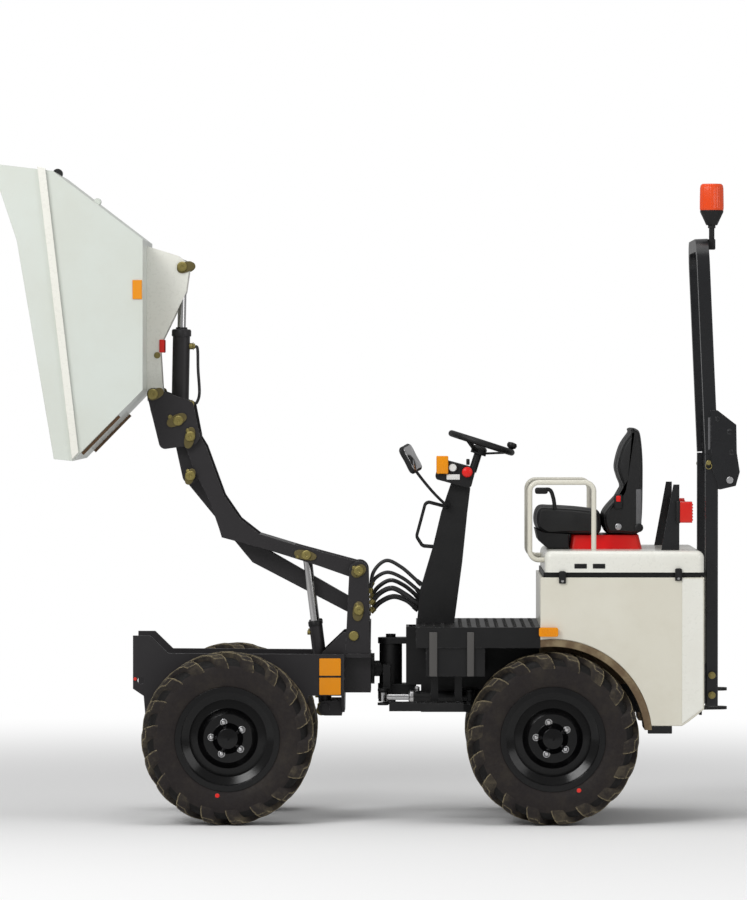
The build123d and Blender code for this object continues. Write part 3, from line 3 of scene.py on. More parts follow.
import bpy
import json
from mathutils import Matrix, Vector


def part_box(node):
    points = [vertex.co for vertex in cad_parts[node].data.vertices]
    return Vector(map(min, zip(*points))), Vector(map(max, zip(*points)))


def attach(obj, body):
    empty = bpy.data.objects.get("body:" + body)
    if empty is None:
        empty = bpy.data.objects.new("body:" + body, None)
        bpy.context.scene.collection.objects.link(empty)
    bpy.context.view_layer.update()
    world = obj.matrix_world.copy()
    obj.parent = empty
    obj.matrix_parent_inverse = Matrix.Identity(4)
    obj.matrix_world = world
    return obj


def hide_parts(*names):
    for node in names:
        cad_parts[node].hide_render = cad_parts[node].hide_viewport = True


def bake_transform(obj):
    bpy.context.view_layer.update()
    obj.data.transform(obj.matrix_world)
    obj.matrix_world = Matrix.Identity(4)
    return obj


bl_info = {
    "name": "Site Dumper Looks",
    "version": (1, 0, 0),
    "blender": (4, 5, 0),
    "location": "View3D > Sidebar > Dumper",
    "description": "Tyres, trim, seat, hoses, finishes and stage around the dumper's packed frame",
    "category": "Add Mesh",
}

import json
import math

import bmesh
import bpy
import numpy as np
from bpy.props import FloatProperty, FloatVectorProperty, IntProperty, PointerProperty
from bpy.types import Operator, Panel, PropertyGroup
from mathutils import Vector

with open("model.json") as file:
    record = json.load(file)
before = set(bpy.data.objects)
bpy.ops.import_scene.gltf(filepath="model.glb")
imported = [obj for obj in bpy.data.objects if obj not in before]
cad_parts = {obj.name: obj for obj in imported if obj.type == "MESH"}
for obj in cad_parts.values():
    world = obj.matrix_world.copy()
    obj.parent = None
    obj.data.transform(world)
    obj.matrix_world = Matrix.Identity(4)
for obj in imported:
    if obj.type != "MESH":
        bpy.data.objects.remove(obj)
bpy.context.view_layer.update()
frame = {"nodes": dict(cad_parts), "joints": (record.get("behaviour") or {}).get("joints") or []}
WHEELS = ("front_left", "front_right", "rear_left", "rear_right")
MM = 0.001
AHEAD, ACROSS, UPWARDS = (1, 0, 0), (0, 1, 0), (0, 0, 1)
MERGE_GAP, SLIVER = 2e-6, 1e-7
OFF_PLANE = 1e-4


# ---------------------------------------------------------------- sizes and colours
def length(name, default, words):
    """A size in metres with its words."""
    return FloatProperty(
        name=name, description=words, default=default, min=0.0, subtype="DISTANCE", unit="LENGTH"
    )


def colour(name, rgb, words):
    """A paint colour given as 0 to 255 display values, stored as linear light."""
    value = np.array(rgb, float) / 255
    linear = np.where(value <= 0.04045, value / 12.92, ((value + 0.055) / 1.055) ** 2.4)
    return FloatVectorProperty(
        name=name, description=words, default=tuple(linear), size=3, min=0, max=1, subtype="COLOR"
    )


class DumperSizes(PropertyGroup):
    """Sizes of the pieces built around the frame."""

    lug_height: length("Lug height", 0.021, "How far a tyre lug stands over the carcass")
    lug_width: length("Lug width", 0.050, "Width of a tyre lug across its top at the shoulder")
    lug_pairs: IntProperty(name="Lug pairs", description="Lugs on each side of a tyre", default=18, min=8, max=40)
    lug_phase: FloatProperty(
        name="Lug phase", description="Turn of the outer row of lugs", default=math.radians(9.7), subtype="ANGLE"
    )
    nut_circle: length("Nut circle", 0.066, "Radius of the circle that the wheel nuts stand on")


class DumperColours(PropertyGroup):
    """Colours of the paints, plastics and rubbers."""

    skip: colour("Skip paint", (213, 219, 212), "Pale grey-green paint of the skip")
    body: colour("Body paint", (222, 219, 205), "Cream paint of the bonnet and side panels")
    frame: colour("Frame paint", (36, 34, 36), "Charcoal paint of the chassis, tower and arms")
    chassis: colour("Chassis paint", (13, 13, 14), "Black paint of the rear chassis and platform")
    rim: colour("Rim paint", (4, 4, 5), "Gloss black paint of the wheels")
    zinc: colour("Passivated zinc", (140, 128, 72), "Yellow zinc of the pins and fittings")
    steel: colour("Bright steel", (190, 190, 192), "Bare steel of the nuts and hose ends")
    red: colour("Red paint", (226, 12, 14), "Red paint of the seat base")
    vinyl: colour("Seat vinyl", (13, 13, 14), "Black vinyl of the seat")
    plastic: colour("Black plastic", (12, 12, 13), "Moulded black plastic")
    amber: colour("Amber", (236, 146, 4), "Amber markers and lamps")
    lens_red: colour("Red lens", (214, 10, 12), "Tail lamp lens")
    beacon: colour("Beacon lens", (236, 70, 8), "Orange lens of the beacon")
    rubber: colour("Tyre rubber", (30, 25, 25), "Tyre rubber under the dust")
    dust: colour("Dust", (172, 158, 124), "Dry soil on the tyres and low parts")
    shade: colour("Grey film", (48, 47, 46), "Neutral dust film on the dark paints")
    hoop: colour("Hoop paint", (18, 19, 22), "Black paint of the roll hoop")
    cover: colour("Cover paint", (236, 236, 228), "White paint of the hinged cover")
    # Painted shadow: this brown stands in for the shade on the strips under the skip's front wall.
    stain: colour("Underside painted shade", (92, 62, 34), "Painted shade on the skip's stiffeners")
    dull: colour("Dull zinc", (96, 86, 48), "Weathered zinc of the flag plates")
    # Painted shade: this near-black stands in for the shade that falls between the tyre lugs.
    gap: colour("Painted tread shade", (12, 10, 9), "Rubber between the lugs")
    grey: colour("Grey paint", (74, 72, 70), "Grey paint of the platform's ribs")
    webbing: colour("Webbing", (96, 96, 98), "Seat belt webbing")
    white: colour("White plastic", (225, 225, 222), "Dial and blank strips")
    floor: colour("Floor", (244, 244, 244), "Pale studio floor")


class StageSizes(PropertyGroup):
    """Where the camera stands."""

    distance: length("Camera distance", 22.0, "From the machine's near side to the camera")
    height: length("Camera height", 1.75, "Height of the camera over the floor")
    yaw: FloatProperty(
        name="Yaw", description="Turn of the view towards the rear", default=math.radians(0.5), subtype="ANGLE"
    )
    lens: FloatProperty(
        name="Lens", description="Focal length", default=222.0, min=1.0, subtype="DISTANCE_CAMERA"
    )


def sizes():
    return bpy.context.scene.dumper_sizes


def paints():
    return bpy.context.scene.dumper_colours


# ---------------------------------------------------------------- surfaces: a grid of points, and how it wraps
def quads(nu, nv, wrap_u=False, wrap_v=False, base=0):
    """Faces of an nu by nv grid of points: (i, j), (i+1, j), (i+1, j+1), (i, j+1), with the last row or column
    joined to the first where it wraps."""
    i, j = np.meshgrid(np.arange(nu - (not wrap_u)), np.arange(nv - (not wrap_v)), indexing="ij")
    i, j = i.ravel(), j.ravel()
    i2, j2 = (i + 1) % nu, (j + 1) % nv
    return np.stack([i * nv + j, i2 * nv + j, i2 * nv + j2, i * nv + j2], -1) + base


def unit(vectors):
    """Each vector over its own length."""
    v = np.array(vectors, float)
    return v / np.linalg.norm(v, axis=-1, keepdims=True)


def axes_of(axis, up=None):
    """Two unit vectors across an axis: e1 = up x axis, e2 = axis x e1."""
    w = unit(axis)
    e1 = unit(np.cross(up if up is not None else (UPWARDS if abs(w[2]) < 0.9 else AHEAD), w))
    return e1, np.cross(w, e1), w


def circle(n, a, b, phase=0.0):
    """Points of a unit circle: cos t a + sin t b, at n even angles t."""
    t = np.arange(n) * 2 * np.pi / n + phase
    return np.cos(t)[:, None] * a + np.sin(t)[:, None] * b


def capped(grid, way=0):
    """The grid with one more row at each end, drawn to the middle of the row beside it, so that the ends close."""
    middle = np.broadcast_to(grid.mean(1 - way, keepdims=True), grid.shape)
    return np.concatenate([middle.take([0], way), grid, middle.take([-1], way)], way)


def lathe(profile, centre, axis, n=32, phase=0.0):
    """Surface of revolution: P(t, k) = c + h_k a + r_k (cos t e1 + sin t e2), for profile rows (r, h)."""
    e1, e2, w = axes_of(axis)
    r, h = np.array(profile, float).T
    ring = circle(n, e1, e2, phase)[:, None]
    return np.array(centre, float) + r[None, :, None] * ring + h[None, :, None] * w, True, False


def rod(centre, axis, radius, height, n=24, phase=0.0):
    """A plain round or many-sided bar: the lathe of a rectangle."""
    return lathe([(0, 0), (radius, 0), (radius, height), (0, height)], centre, axis, n, phase)


def disc(centre, axis, radius, height, bevel=0.0015, n=24):
    """A round boss with its rim eased: the lathe of a rectangle with its outer corner cut."""
    profile = [(0, 0), (radius, 0), (radius, height - bevel), (radius - bevel, height), (0, height)]
    return lathe(profile, centre, axis, n)


def prism(outline, centre, axis, thick, up=None, bevel=0.0):
    """A plate: the outline (x, y) carried along its axis, P(k, j) = c + s_k (x_j e1 + y_j e2) + h_k a, its two
    faces closed to the middle and its rims drawn in by the bevel."""
    e1, e2, w = axes_of(axis, up)
    o = np.array(outline, float)
    mid = o.mean(0)
    drawn = 1 - bevel / np.abs(o - mid).max()
    s = np.array([0, drawn, 1, 1, drawn, 0])
    h = np.array([0, 0, bevel, thick - bevel, thick, thick])
    flat = mid + s[:, None, None] * (o - mid)[None]
    points = np.array(centre, float) + flat[..., :1] * e1 + flat[..., 1:] * e2 + h[:, None, None] * w
    return points, False, True


def side_plate(outline, y, thick, bevel=0.001):
    """A plate in side view: the outline (X, Z) with its outer face at y, its thickness going inwards."""
    return prism(outline, (0, y, 0), (0, -1, 0), thick, up=UPWARDS, bevel=bevel)


def tube(path, radius, n=12, up=(0, 1, 0.001)):
    """A round bar along a path: P(i, t) = p_i + r (cos t b_i + sin t c_i), where b = tangent x up and
    c = b x tangent, with each end closed to its middle."""
    p = np.array(path, float)
    d = unit(np.gradient(p, axis=0))
    b = unit(np.cross(d, up))
    c = np.cross(b, d)
    return capped(p[:, None] + radius * circle(n, b[:, None], c[:, None])), False, True


def closed_tube(path, radius, n=10):
    """A round bar along a closed path: P(i, t) = p_i + r (cos t u + sin t c_i), u across the path's plane."""
    p = np.array(path, float)
    d = unit(np.roll(p, -1, 0) - np.roll(p, 1, 0))
    u = np.array(ACROSS, float)
    return p[:, None] + radius * circle(n, u, np.cross(d, u)[:, None]), True, True


def curve_through(points, n=24):
    """Catmull-Rom curve through the points, n samples a span: p(t) with tangents half the chord between
    neighbours."""
    p = np.array(points, float)
    p = np.concatenate([[2 * p[0] - p[1]], p, [2 * p[-1] - p[-2]]])
    t = (np.arange(n) / n)[None, :, None]
    a, b, c, d = (p[k : len(p) - 3 + k, None] for k in range(4))
    q = 0.5 * (2 * b + (c - a) * t + (2 * a - 5 * b + 4 * c - d) * t**2 + (3 * b - a - 3 * c + d) * t**3)
    return np.concatenate([q.reshape(-1, 3), p[-2:-1]])


def smooth_outline(points, n=12):
    """A closed curve through the points, the curve_through of the ring with its ends laid over each other."""
    p = [(x, 0, z) for x, z in points]
    ring = curve_through(p[-2:] + p + p[:2], n)
    return ring[2 * n : 2 * n + len(p) * n, ::2]


def block(centre, half, radius, n=4):
    """A rounded block: P(u, v) = c + sign(m) (half - r) + r m, for the unit sphere m(u, v) sampled so that no
    sample lies on a middle plane."""
    quarter = np.arange(n) / (n - 1) * (np.pi / 2 - 2 * OFF_PLANE) + OFF_PLANE
    u = (quarter + np.arange(4)[:, None] * np.pi / 2).ravel()
    u, v = np.meshgrid(u, np.concatenate([quarter - np.pi / 2, quarter]), indexing="ij")
    m = np.stack([np.cos(u) * np.cos(v), np.sin(u) * np.cos(v), np.sin(v)], -1)
    local = np.sign(m) * (np.array(half, float) - radius) + radius * m
    return np.array(centre, float) + capped(local, 1), True, False


def both_sides(patches):
    """The grids and their mirror images on the machine's other side: (x, -y, z)."""
    return patches + [(p * (1, -1, 1), wrap_u, wrap_v) for p, wrap_u, wrap_v in patches]


def finish(name):
    return bpy.data.materials[name]


def piece(name, patches, coat, body, smooth=40, stands_for=()):
    """One mesh object from several grids, its doubles merged, its faces pointing out, riding on a body."""
    points, faces, base = [], [], 0
    for grid, wrap_u, wrap_v in patches:
        nu, nv = grid.shape[:2]
        points.append(grid.reshape(-1, 3))
        faces.append(quads(nu, nv, wrap_u, wrap_v, base))
        base += nu * nv
    mesh = bpy.data.meshes.new(name)
    mesh.from_pydata(np.concatenate(points), [], np.concatenate(faces))
    form = bmesh.new()
    form.from_mesh(mesh)
    bmesh.ops.remove_doubles(form, verts=form.verts, dist=MERGE_GAP)
    bmesh.ops.dissolve_degenerate(form, edges=form.edges, dist=SLIVER)
    bmesh.ops.recalc_face_normals(form, faces=form.faces)
    form.to_mesh(mesh)
    form.free()
    mesh.polygons.foreach_set("use_smooth", np.ones(len(mesh.polygons), bool))
    mesh.set_sharp_from_angle(angle=math.radians(smooth))
    mesh.materials.append(finish(coat))
    made = bpy.data.objects.new(name, mesh)
    bpy.context.scene.collection.objects.link(made)
    if body is not None:
        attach(made, body)
    if stands_for:
        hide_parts(*stands_for)
    return made


# ---------------------------------------------------------------- materials
def feed(tree, value, socket):
    """Links a socket into an input, or sets the input to a plain value."""
    if isinstance(value, bpy.types.NodeSocket):
        tree.links.new(value, socket)
    elif value is not None:
        socket.default_value = value


def node(tree, kind, **values):
    """A shader node with its input values set by name, and its settings by attribute."""
    made = tree.nodes.new(kind)
    for key, value in values.items():
        if hasattr(made, key):
            setattr(made, key, value)
        else:
            feed(tree, value, made.inputs[key])
    return made


def group(name, inputs):
    """A new shader node group with the named inputs, which puts out a colour, a roughness and a normal. Gives its
    tree, what comes in, what goes out, and the object coordinates."""
    tree = bpy.data.node_groups.new(name, "ShaderNodeTree")
    for label, default in inputs.items():
        kind = "NodeSocketFloat" if isinstance(default, float) else "NodeSocketColor"
        tree.interface.new_socket(name=label, in_out="INPUT", socket_type=kind).default_value = default
    for label, kind in (("Colour", "Color"), ("Roughness", "Float"), ("Normal", "Vector")):
        tree.interface.new_socket(name=label, in_out="OUTPUT", socket_type="NodeSocket" + kind)
    given, out = tree.nodes.new("NodeGroupInput"), tree.nodes.new("NodeGroupOutput")
    return tree, given.outputs, out.inputs, node(tree, "ShaderNodeTexCoord").outputs["Object"]


def mix(tree, factor, a, b):
    """Colour mix of a and b by a factor."""
    made = node(tree, "ShaderNodeMix", data_type="RGBA", Factor=factor)
    feed(tree, a, made.inputs[6])
    feed(tree, b, made.inputs[7])
    return made.outputs[2]


def maths(tree, operation, a, b, clamp=False):
    """A Math node on sockets or numbers."""
    made = node(tree, "ShaderNodeMath", operation=operation, use_clamp=clamp)
    feed(tree, a, made.inputs[0])
    feed(tree, b, made.inputs[1])
    return made.outputs[0]


def ranged(tree, value, low, high, to_low=0.0, to_high=1.0):
    """Map Range from low..high to to_low..to_high, clamped and smooth."""
    made = node(tree, "ShaderNodeMapRange", interpolation_type="SMOOTHSTEP")
    for index, number in enumerate((value, low, high, to_low, to_high)):
        feed(tree, number, made.inputs[index])
    return made.outputs[0]


def noise(tree, place, scale, detail=4.0, rough=0.55):
    """Noise on object coordinates."""
    made = node(tree, "ShaderNodeTexNoise", Vector=place, Scale=scale, Detail=detail, Roughness=rough)
    return made.outputs["Fac"]


def edge_mask(tree, bevel, sharp, blunt):
    """Where the softened normal leaves the true one: 0 at the cosine sharp, 1 at the cosine blunt."""
    dot = node(tree, "ShaderNodeVectorMath", operation="DOT_PRODUCT")
    feed(tree, bevel, dot.inputs[0])
    feed(tree, node(tree, "ShaderNodeNewGeometry").outputs["Normal"], dot.inputs[1])
    return ranged(tree, dot.outputs["Value"], sharp, blunt)


def bumped(tree, height, strength, distance, normal):
    """A Bump node over a softened normal."""
    made = node(tree, "ShaderNodeBump", Height=height, Strength=strength, Distance=distance, Normal=normal)
    return made.outputs[0]


def paint_wear_group():
    """Painted metal: broad tone, grime low down and in patches, chips along edges, orange peel, softened edges."""
    tree, given, out, place = group("paint_wear", {
        "Paint": (0.5, 0.5, 0.5, 1), "Grime": (0.15, 0.12, 0.08, 1), "Bare": (0.3, 0.3, 0.3, 1),
        "Grime amount": 0.3, "Chips": 0.3, "Gloss rough": 0.3, "Edge radius": 0.003, "Peel": 0.02,
    })
    split = node(tree, "ShaderNodeSeparateXYZ", Vector=place)
    broad = noise(tree, place, 2.6, 5.0, 0.6)
    patch = noise(tree, place, 9.0, 8.0, 0.65)
    fine = noise(tree, place, 70.0, 3.0, 0.6)
    low = ranged(tree, split.outputs["Z"], 0.15, 1.3, 1.0, 0.25)
    grime = maths(tree, "MULTIPLY", ranged(tree, patch, 0.42, 0.78), low)
    grime = maths(tree, "MULTIPLY", grime, given["Grime amount"], clamp=True)
    shade = mix(tree, ranged(tree, broad, 0.3, 0.7, 0.0, 0.10), given["Paint"], given["Grime"])
    dirty = mix(tree, grime, shade, given["Grime"])
    soft = node(tree, "ShaderNodeBevel", samples=4, Radius=given["Edge radius"]).outputs[0]
    chipped = maths(tree, "MULTIPLY", edge_mask(tree, soft, 0.97, 0.80), ranged(tree, fine, 0.5, 0.62))
    chipped = maths(tree, "MULTIPLY", chipped, given["Chips"], clamp=True)
    feed(tree, mix(tree, chipped, dirty, given["Bare"]), out["Colour"])
    rough = maths(tree, "ADD", given["Gloss rough"], maths(tree, "MULTIPLY", grime, 0.45))
    rough = maths(tree, "ADD", rough, ranged(tree, fine, 0.35, 0.65, -0.015, 0.025), clamp=True)
    feed(tree, rough, out["Roughness"])
    peel = noise(tree, place, 240.0, 2.0)
    feed(tree, bumped(tree, peel, given["Peel"], 0.001, soft), out["Normal"])


def grain_group():
    """Moulded plastic and vinyl: a pebbled grain, with dust in it."""
    tree, given, out, place = group("pebble_grain", {
        "Tint": (0.02, 0.02, 0.02, 1), "Dust": (0.2, 0.18, 0.14, 1), "Dust amount": 0.15,
        "Grain scale": 500.0, "Grain depth": 0.25, "Sheen rough": 0.5, "Edge radius": 0.002,
    })
    cells = node(tree, "ShaderNodeTexVoronoi", feature="SMOOTH_F1", Vector=place, Scale=given["Grain scale"])
    patch = noise(tree, place, 14.0, 6.0, 0.6)
    dusty = maths(tree, "MULTIPLY", ranged(tree, patch, 0.4, 0.75), given["Dust amount"])
    feed(tree, mix(tree, dusty, given["Tint"], given["Dust"]), out["Colour"])
    rough = maths(tree, "ADD", given["Sheen rough"], ranged(tree, patch, 0.3, 0.7, -0.06, 0.1), clamp=True)
    feed(tree, rough, out["Roughness"])
    soft = node(tree, "ShaderNodeBevel", samples=4, Radius=given["Edge radius"]).outputs[0]
    feed(tree, bumped(tree, cells.outputs["Distance"], given["Grain depth"], 0.0008, soft), out["Normal"])


def soil_group():
    """Tyre rubber: soil caught on the lugs' sides and edges, dust on the sidewall, fine moulding grain."""
    tree, given, out, place = group("tyre_soil", {
        "Rubber": (0.02, 0.018, 0.016, 1), "Soil": (0.3, 0.25, 0.15, 1), "Tread": 0.5, "Amount": 0.7,
    })
    broad = noise(tree, place, 11.0, 8.0, 0.7)
    fine = noise(tree, place, 90.0, 6.0, 0.7)
    soft = node(tree, "ShaderNodeBevel", samples=6, Radius=0.009).outputs[0]
    edge = maths(tree, "MULTIPLY", edge_mask(tree, soft, 0.995, 0.90), ranged(tree, fine, 0.36, 0.52))
    caked = maths(tree, "MULTIPLY", ranged(tree, broad, 0.45, 0.68), given["Tread"])
    both = maths(tree, "MULTIPLY", maths(tree, "ADD", caked, edge, clamp=True), given["Amount"])
    film = maths(tree, "MULTIPLY", ranged(tree, broad, 0.3, 0.7, 0.0, 0.4), given["Tread"])
    filmed = mix(tree, film, given["Rubber"], given["Soil"])
    feed(tree, mix(tree, both, filmed, given["Soil"]), out["Colour"])
    rough = ranged(tree, fine, 0.3, 0.7, 0.55, 0.75)
    feed(tree, maths(tree, "ADD", rough, maths(tree, "MULTIPLY", both, 0.2)), out["Roughness"])
    feed(tree, bumped(tree, fine, 0.5, 0.0015, soft), out["Normal"])


PAINT_EDGE, GRAIN_EDGE, TYRE_SPECULAR = 0.003, 0.002, 0.25


def rgba(value):
    return (*value[:], 1.0)


def from_group(name, tree_name, settings, shader):
    """A material whose Principled shader takes colour, roughness and normal from a shared group, with its other
    numbers set on the shader's own sockets."""
    made = bpy.data.materials.new(name)
    made.use_nodes = True
    tree = made.node_tree
    principled = tree.nodes["Principled BSDF"]
    shared = tree.nodes.new("ShaderNodeGroup")
    shared.node_tree = bpy.data.node_groups[tree_name]
    shared.location = (-320, 200)
    for key, value in settings.items():
        shared.inputs[key].default_value = value
    for source, target in (("Colour", "Base Color"), ("Roughness", "Roughness"), ("Normal", "Normal")):
        tree.links.new(shared.outputs[source], principled.inputs[target])
    for key, value in shader.items():
        principled.inputs[key.replace("_", " ")].default_value = value


def painted(name, tint, rough, grime, chips, peel=0.008, soil=None, **shader):
    """A painted or plated metal, or a smooth plastic."""
    c = paints()
    values = {
        "Paint": rgba(tint), "Grime": rgba(c.dust if soil is None else soil), "Bare": rgba(c.steel),
        "Grime amount": grime, "Chips": chips, "Gloss rough": rough, "Edge radius": PAINT_EDGE, "Peel": peel,
    }
    from_group(name, "paint_wear", values, shader)


def grained(name, tint, rough, dust, scale, depth, soil=None, **shader):
    """A plastic, vinyl, webbing or rubber with a grain."""
    values = {
        "Tint": rgba(tint), "Dust": rgba(paints().shade if soil is None else soil), "Dust amount": dust,
        "Grain scale": scale, "Grain depth": depth, "Sheen rough": rough, "Edge radius": GRAIN_EDGE,
    }
    from_group(name, "pebble_grain", values, shader)


def soiled(name, tint, tread, amount):
    """A tyre rubber with soil in it."""
    values = {"Rubber": rgba(tint), "Soil": rgba(paints().dust), "Tread": tread, "Amount": amount}
    from_group(name, "tyre_soil", values, {"Specular_IOR_Level": TYRE_SPECULAR})


def make_finishes():
    """Build the shared effects once, then each paint, plastic and rubber with its own values."""
    paint_wear_group()
    grain_group()
    soil_group()
    c = paints()
    painted("skip paint", c.skip, 0.34, 0.16, 0.35, Coat_Weight=0.3)
    painted("cream paint", c.body, 0.30, 0.14, 0.15, Coat_Weight=0.4)
    painted("charcoal paint", c.frame, 0.40, 0.22, 0.30, soil=c.shade, Specular_IOR_Level=0.35)
    painted("hoop paint", c.hoop, 0.28, 0.15, 0.25, soil=c.shade, Specular_IOR_Level=0.45)
    painted("chassis paint", c.chassis, 0.42, 0.22, 0.25, soil=c.shade, Specular_IOR_Level=0.30)
    painted("grey paint", c.grey, 0.45, 0.20, 0.2, soil=c.shade)
    # Brown for the strips under the skip's front wall: painted shadow, not rust.
    painted("underside painted shade", c.stain, 0.75, 0.5, 0.0)
    painted("cover paint", c.cover, 0.28, 0.10, 0.12, Coat_Weight=0.4)
    painted("rim paint", c.rim, 0.18, 0.05, 0.05, soil=c.shade, Specular_IOR_Level=0.28)
    painted("red paint", c.red, 0.32, 0.10, 0.3, Specular_IOR_Level=0.30)
    painted("passivated zinc", c.zinc, 0.34, 0.25, 0.1, Metallic=0.65)
    painted("dull zinc", c.dull, 0.42, 0.35, 0.1, Metallic=0.5)
    painted("bright steel", c.steel, 0.28, 0.2, 0.0, Metallic=0.95)
    painted("chromed rod", c.steel, 0.12, 0.05, 0.0, Metallic=1.0, peel=0.004)
    painted("mirror glass", c.steel, 0.04, 0.05, 0.0, Metallic=1.0, peel=0.0)
    painted("cast iron", (0.12, 0.12, 0.125), 0.6, 0.5, 0.1, peel=0.25)
    painted("amber plastic", c.amber, 0.30, 0.06, 0.0, Specular_IOR_Level=0.25)
    painted("red lens plastic", c.lens_red, 0.2, 0.06, 0.0, Specular_IOR_Level=0.35)
    painted("beacon plastic", c.beacon, 0.18, 0.05, 0.0, Specular_IOR_Level=0.35)
    painted("white plastic", c.white, 0.35, 0.10, 0.0)
    grained("seat vinyl", c.vinyl, 0.46, 0.06, 900.0, 0.35, Specular_IOR_Level=0.4)
    grained("black plastic", c.plastic, 0.46, 0.06, 700.0, 0.25, Specular_IOR_Level=0.35)
    grained("grey webbing", c.webbing, 0.75, 0.15, 1400.0, 0.6)
    grained("liner plastic", (0.130, 0.082, 0.038), 0.65, 0.5, 300.0, 0.4, soil=c.dust)
    grained("hose rubber", (0.012, 0.012, 0.013), 0.45, 0.12, 900.0, 0.15)
    soiled("tyre lug", c.rubber, 0.12, 0.85)
    soiled("tyre side", c.rubber, 0.04, 0.35)
    # The tread floor between the lugs gets painted shade, a near-black rubber with no soil.
    soiled("tyre tread painted shade", c.gap, 0.0, 0.0)


FRAME_FINISH = {
    "skip paint": ("skip_floor_and_ends", "skip_sides"),
    "cover paint": ("bonnet", "skip_bracket"),
    "cream paint": ("side_panels", "end_panels", "hand_rails"),
    "charcoal paint": (
        "upper_arm", "headstock", "tower", "front_frame", "lower_arm", "tip_cylinder_barrel",
        "lift_cylinder_barrels",
    ),
    "hoop paint": ("roll_hoop", "hoop_posts", "lamp_posts"),
    "chassis paint": (
        "rear_frame", "rear_axle", "front_axle", "artic_block", "steps", "side_boxes", "bay_frame", "platform",
        "tow_hitch", "steer_cylinder_barrel",
    ),
    "rim paint": tuple(f"rim_{w}" for w in WHEELS),
    "tyre side": tuple(f"tyre_{w}" for w in WHEELS),
    "red paint": ("seat_base",),
    "chromed rod": ("tip_cylinder_rod", "lift_cylinder_rods", "steer_cylinder_rod"),
    "cast iron": ("engine_block",),
    "amber plastic": ("amber_plates", "side_lamps"),
    "red lens plastic": ("tail_lamps",),
    "beacon plastic": ("beacon",),
    "seat vinyl": ("seat_cushion", "seat_back"),
    "black plastic": ("steering_column", "console", "mirror", "steering_wheel"),
    "liner plastic": ("arch_liners",),
    "hose rubber": ("pivot_hoses",),
}


def finish_frame():
    """Give each frame node its finish."""
    bare = set(frame["nodes"])
    for name, members in FRAME_FINISH.items():
        for member in members:
            coats = frame["nodes"][member].data.materials
            coats.clear()
            coats.append(finish(name))
            bare.discard(member)
    if bare:
        raise RuntimeError(f"no finish for {sorted(bare)}")


# ---------------------------------------------------------------- tyres and wheels
# the carcass's half section in millimetres: radius, Y from the middle
CARCASS = (
    (191, 86), (204, 87), (212, 92), (228, 99), (250, 103.5), (272, 104.5), (292, 102), (306, 96), (316, 86),
    (320, 60), (321.5, 30), (322, 0),
)
BORE_R, BEAD_Y = 0.1915, 0.086
# Carcass faces past this radius, the tread floor between the lugs, take the near-black painted shade.
TREAD_FLOOR_R = 0.291
# base Y, base radius, top Y, top radius in millimetres, turn of the lug there in degrees, share of its half width
LUG_STATIONS = (
    (-10, 320, -10, 337, -1.5, 0.62),
    (-6, 320, -6, 342.4, -1.0, 0.70),
    (30, 319, 32, 343, 5.0, 0.82),
    (60, 317, 66, 341.8, 9.5, 0.94),
    (82, 311, 92, 337, 13.0, 1.02),
    (94, 300, 104.5, 324, 15.0, 1.00),
    (99, 288, 107, 306, 16.2, 0.98),
    (101, 276, 106, 291, 17.0, 0.88),
    (101, 270, 103.5, 280, 17.4, 0.70),
)
# the lug's own section: share of its half width, share of its height
LUG_ACROSS = np.array([-1.22, -1.0, -0.86, -0.3, 0.3, 0.86, 1.0, 1.22])
LUG_RISE = np.array([-0.1, 0.80, 1.0, 1.0, 1.0, 1.0, 0.80, -0.1])
DRAWN_LUG_HEIGHT, TYRE_R = 0.021, 0.343
HUB_FACE, NUT_COUNT, NUT_R, NUT_HEIGHT, FIRST_NUT = 0.034, 5, 0.0115, 0.020, 76
DOT_R, DOT_Y, DOT_TURN = 0.226, 0.0975, {"front": -80, "rear": -117}


def middle_of(name):
    """The middle of a frame node's box."""
    low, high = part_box(name)
    return np.array((low + high) / 2)


def around(centre, radius, degrees):
    """A point on a circle in side view: c + r (cos t, 0, sin t)."""
    turn = math.radians(degrees)
    return centre + radius * np.array([math.cos(turn), 0, math.sin(turn)])


def tyre_lugs(centre, side, phase):
    """The lugs of one side of a tyre. A lug's section runs base, chamfer, top, chamfer, base; at station a and
    section share (s, h) the point has angle t = t0 + turn_a + s w_a / r, y = y_base + h (y_top - y_base) and
    r = r_base + h (r_top - r_base)."""
    s = sizes()
    table = np.array(LUG_STATIONS)
    y0, r0, y1, r1 = (table[:, k, None] * MM for k in range(4))
    r1 = np.minimum(r0 + (r1 - r0) * (s.lug_height / DRAWN_LUG_HEIGHT), TYRE_R)
    turn, wide = np.radians(table[:, 4, None]), table[:, 5, None] * s.lug_width / 2
    y = y0 + LUG_RISE * (y1 - y0)
    r = r0 + LUG_RISE * (r1 - r0)
    y, r, t = capped(y), capped(r), capped(turn + LUG_ACROSS * wide / r)
    start = np.arange(s.lug_pairs) * 2 * np.pi / s.lug_pairs + phase
    angle = start[:, None, None] + t
    x = centre[0] + r * np.cos(angle)
    z = centre[2] + r * np.sin(angle)
    y = np.broadcast_to(centre[1] + side * y, x.shape)
    return [(lug, False, True) for lug in np.stack([x, y, z], -1)]


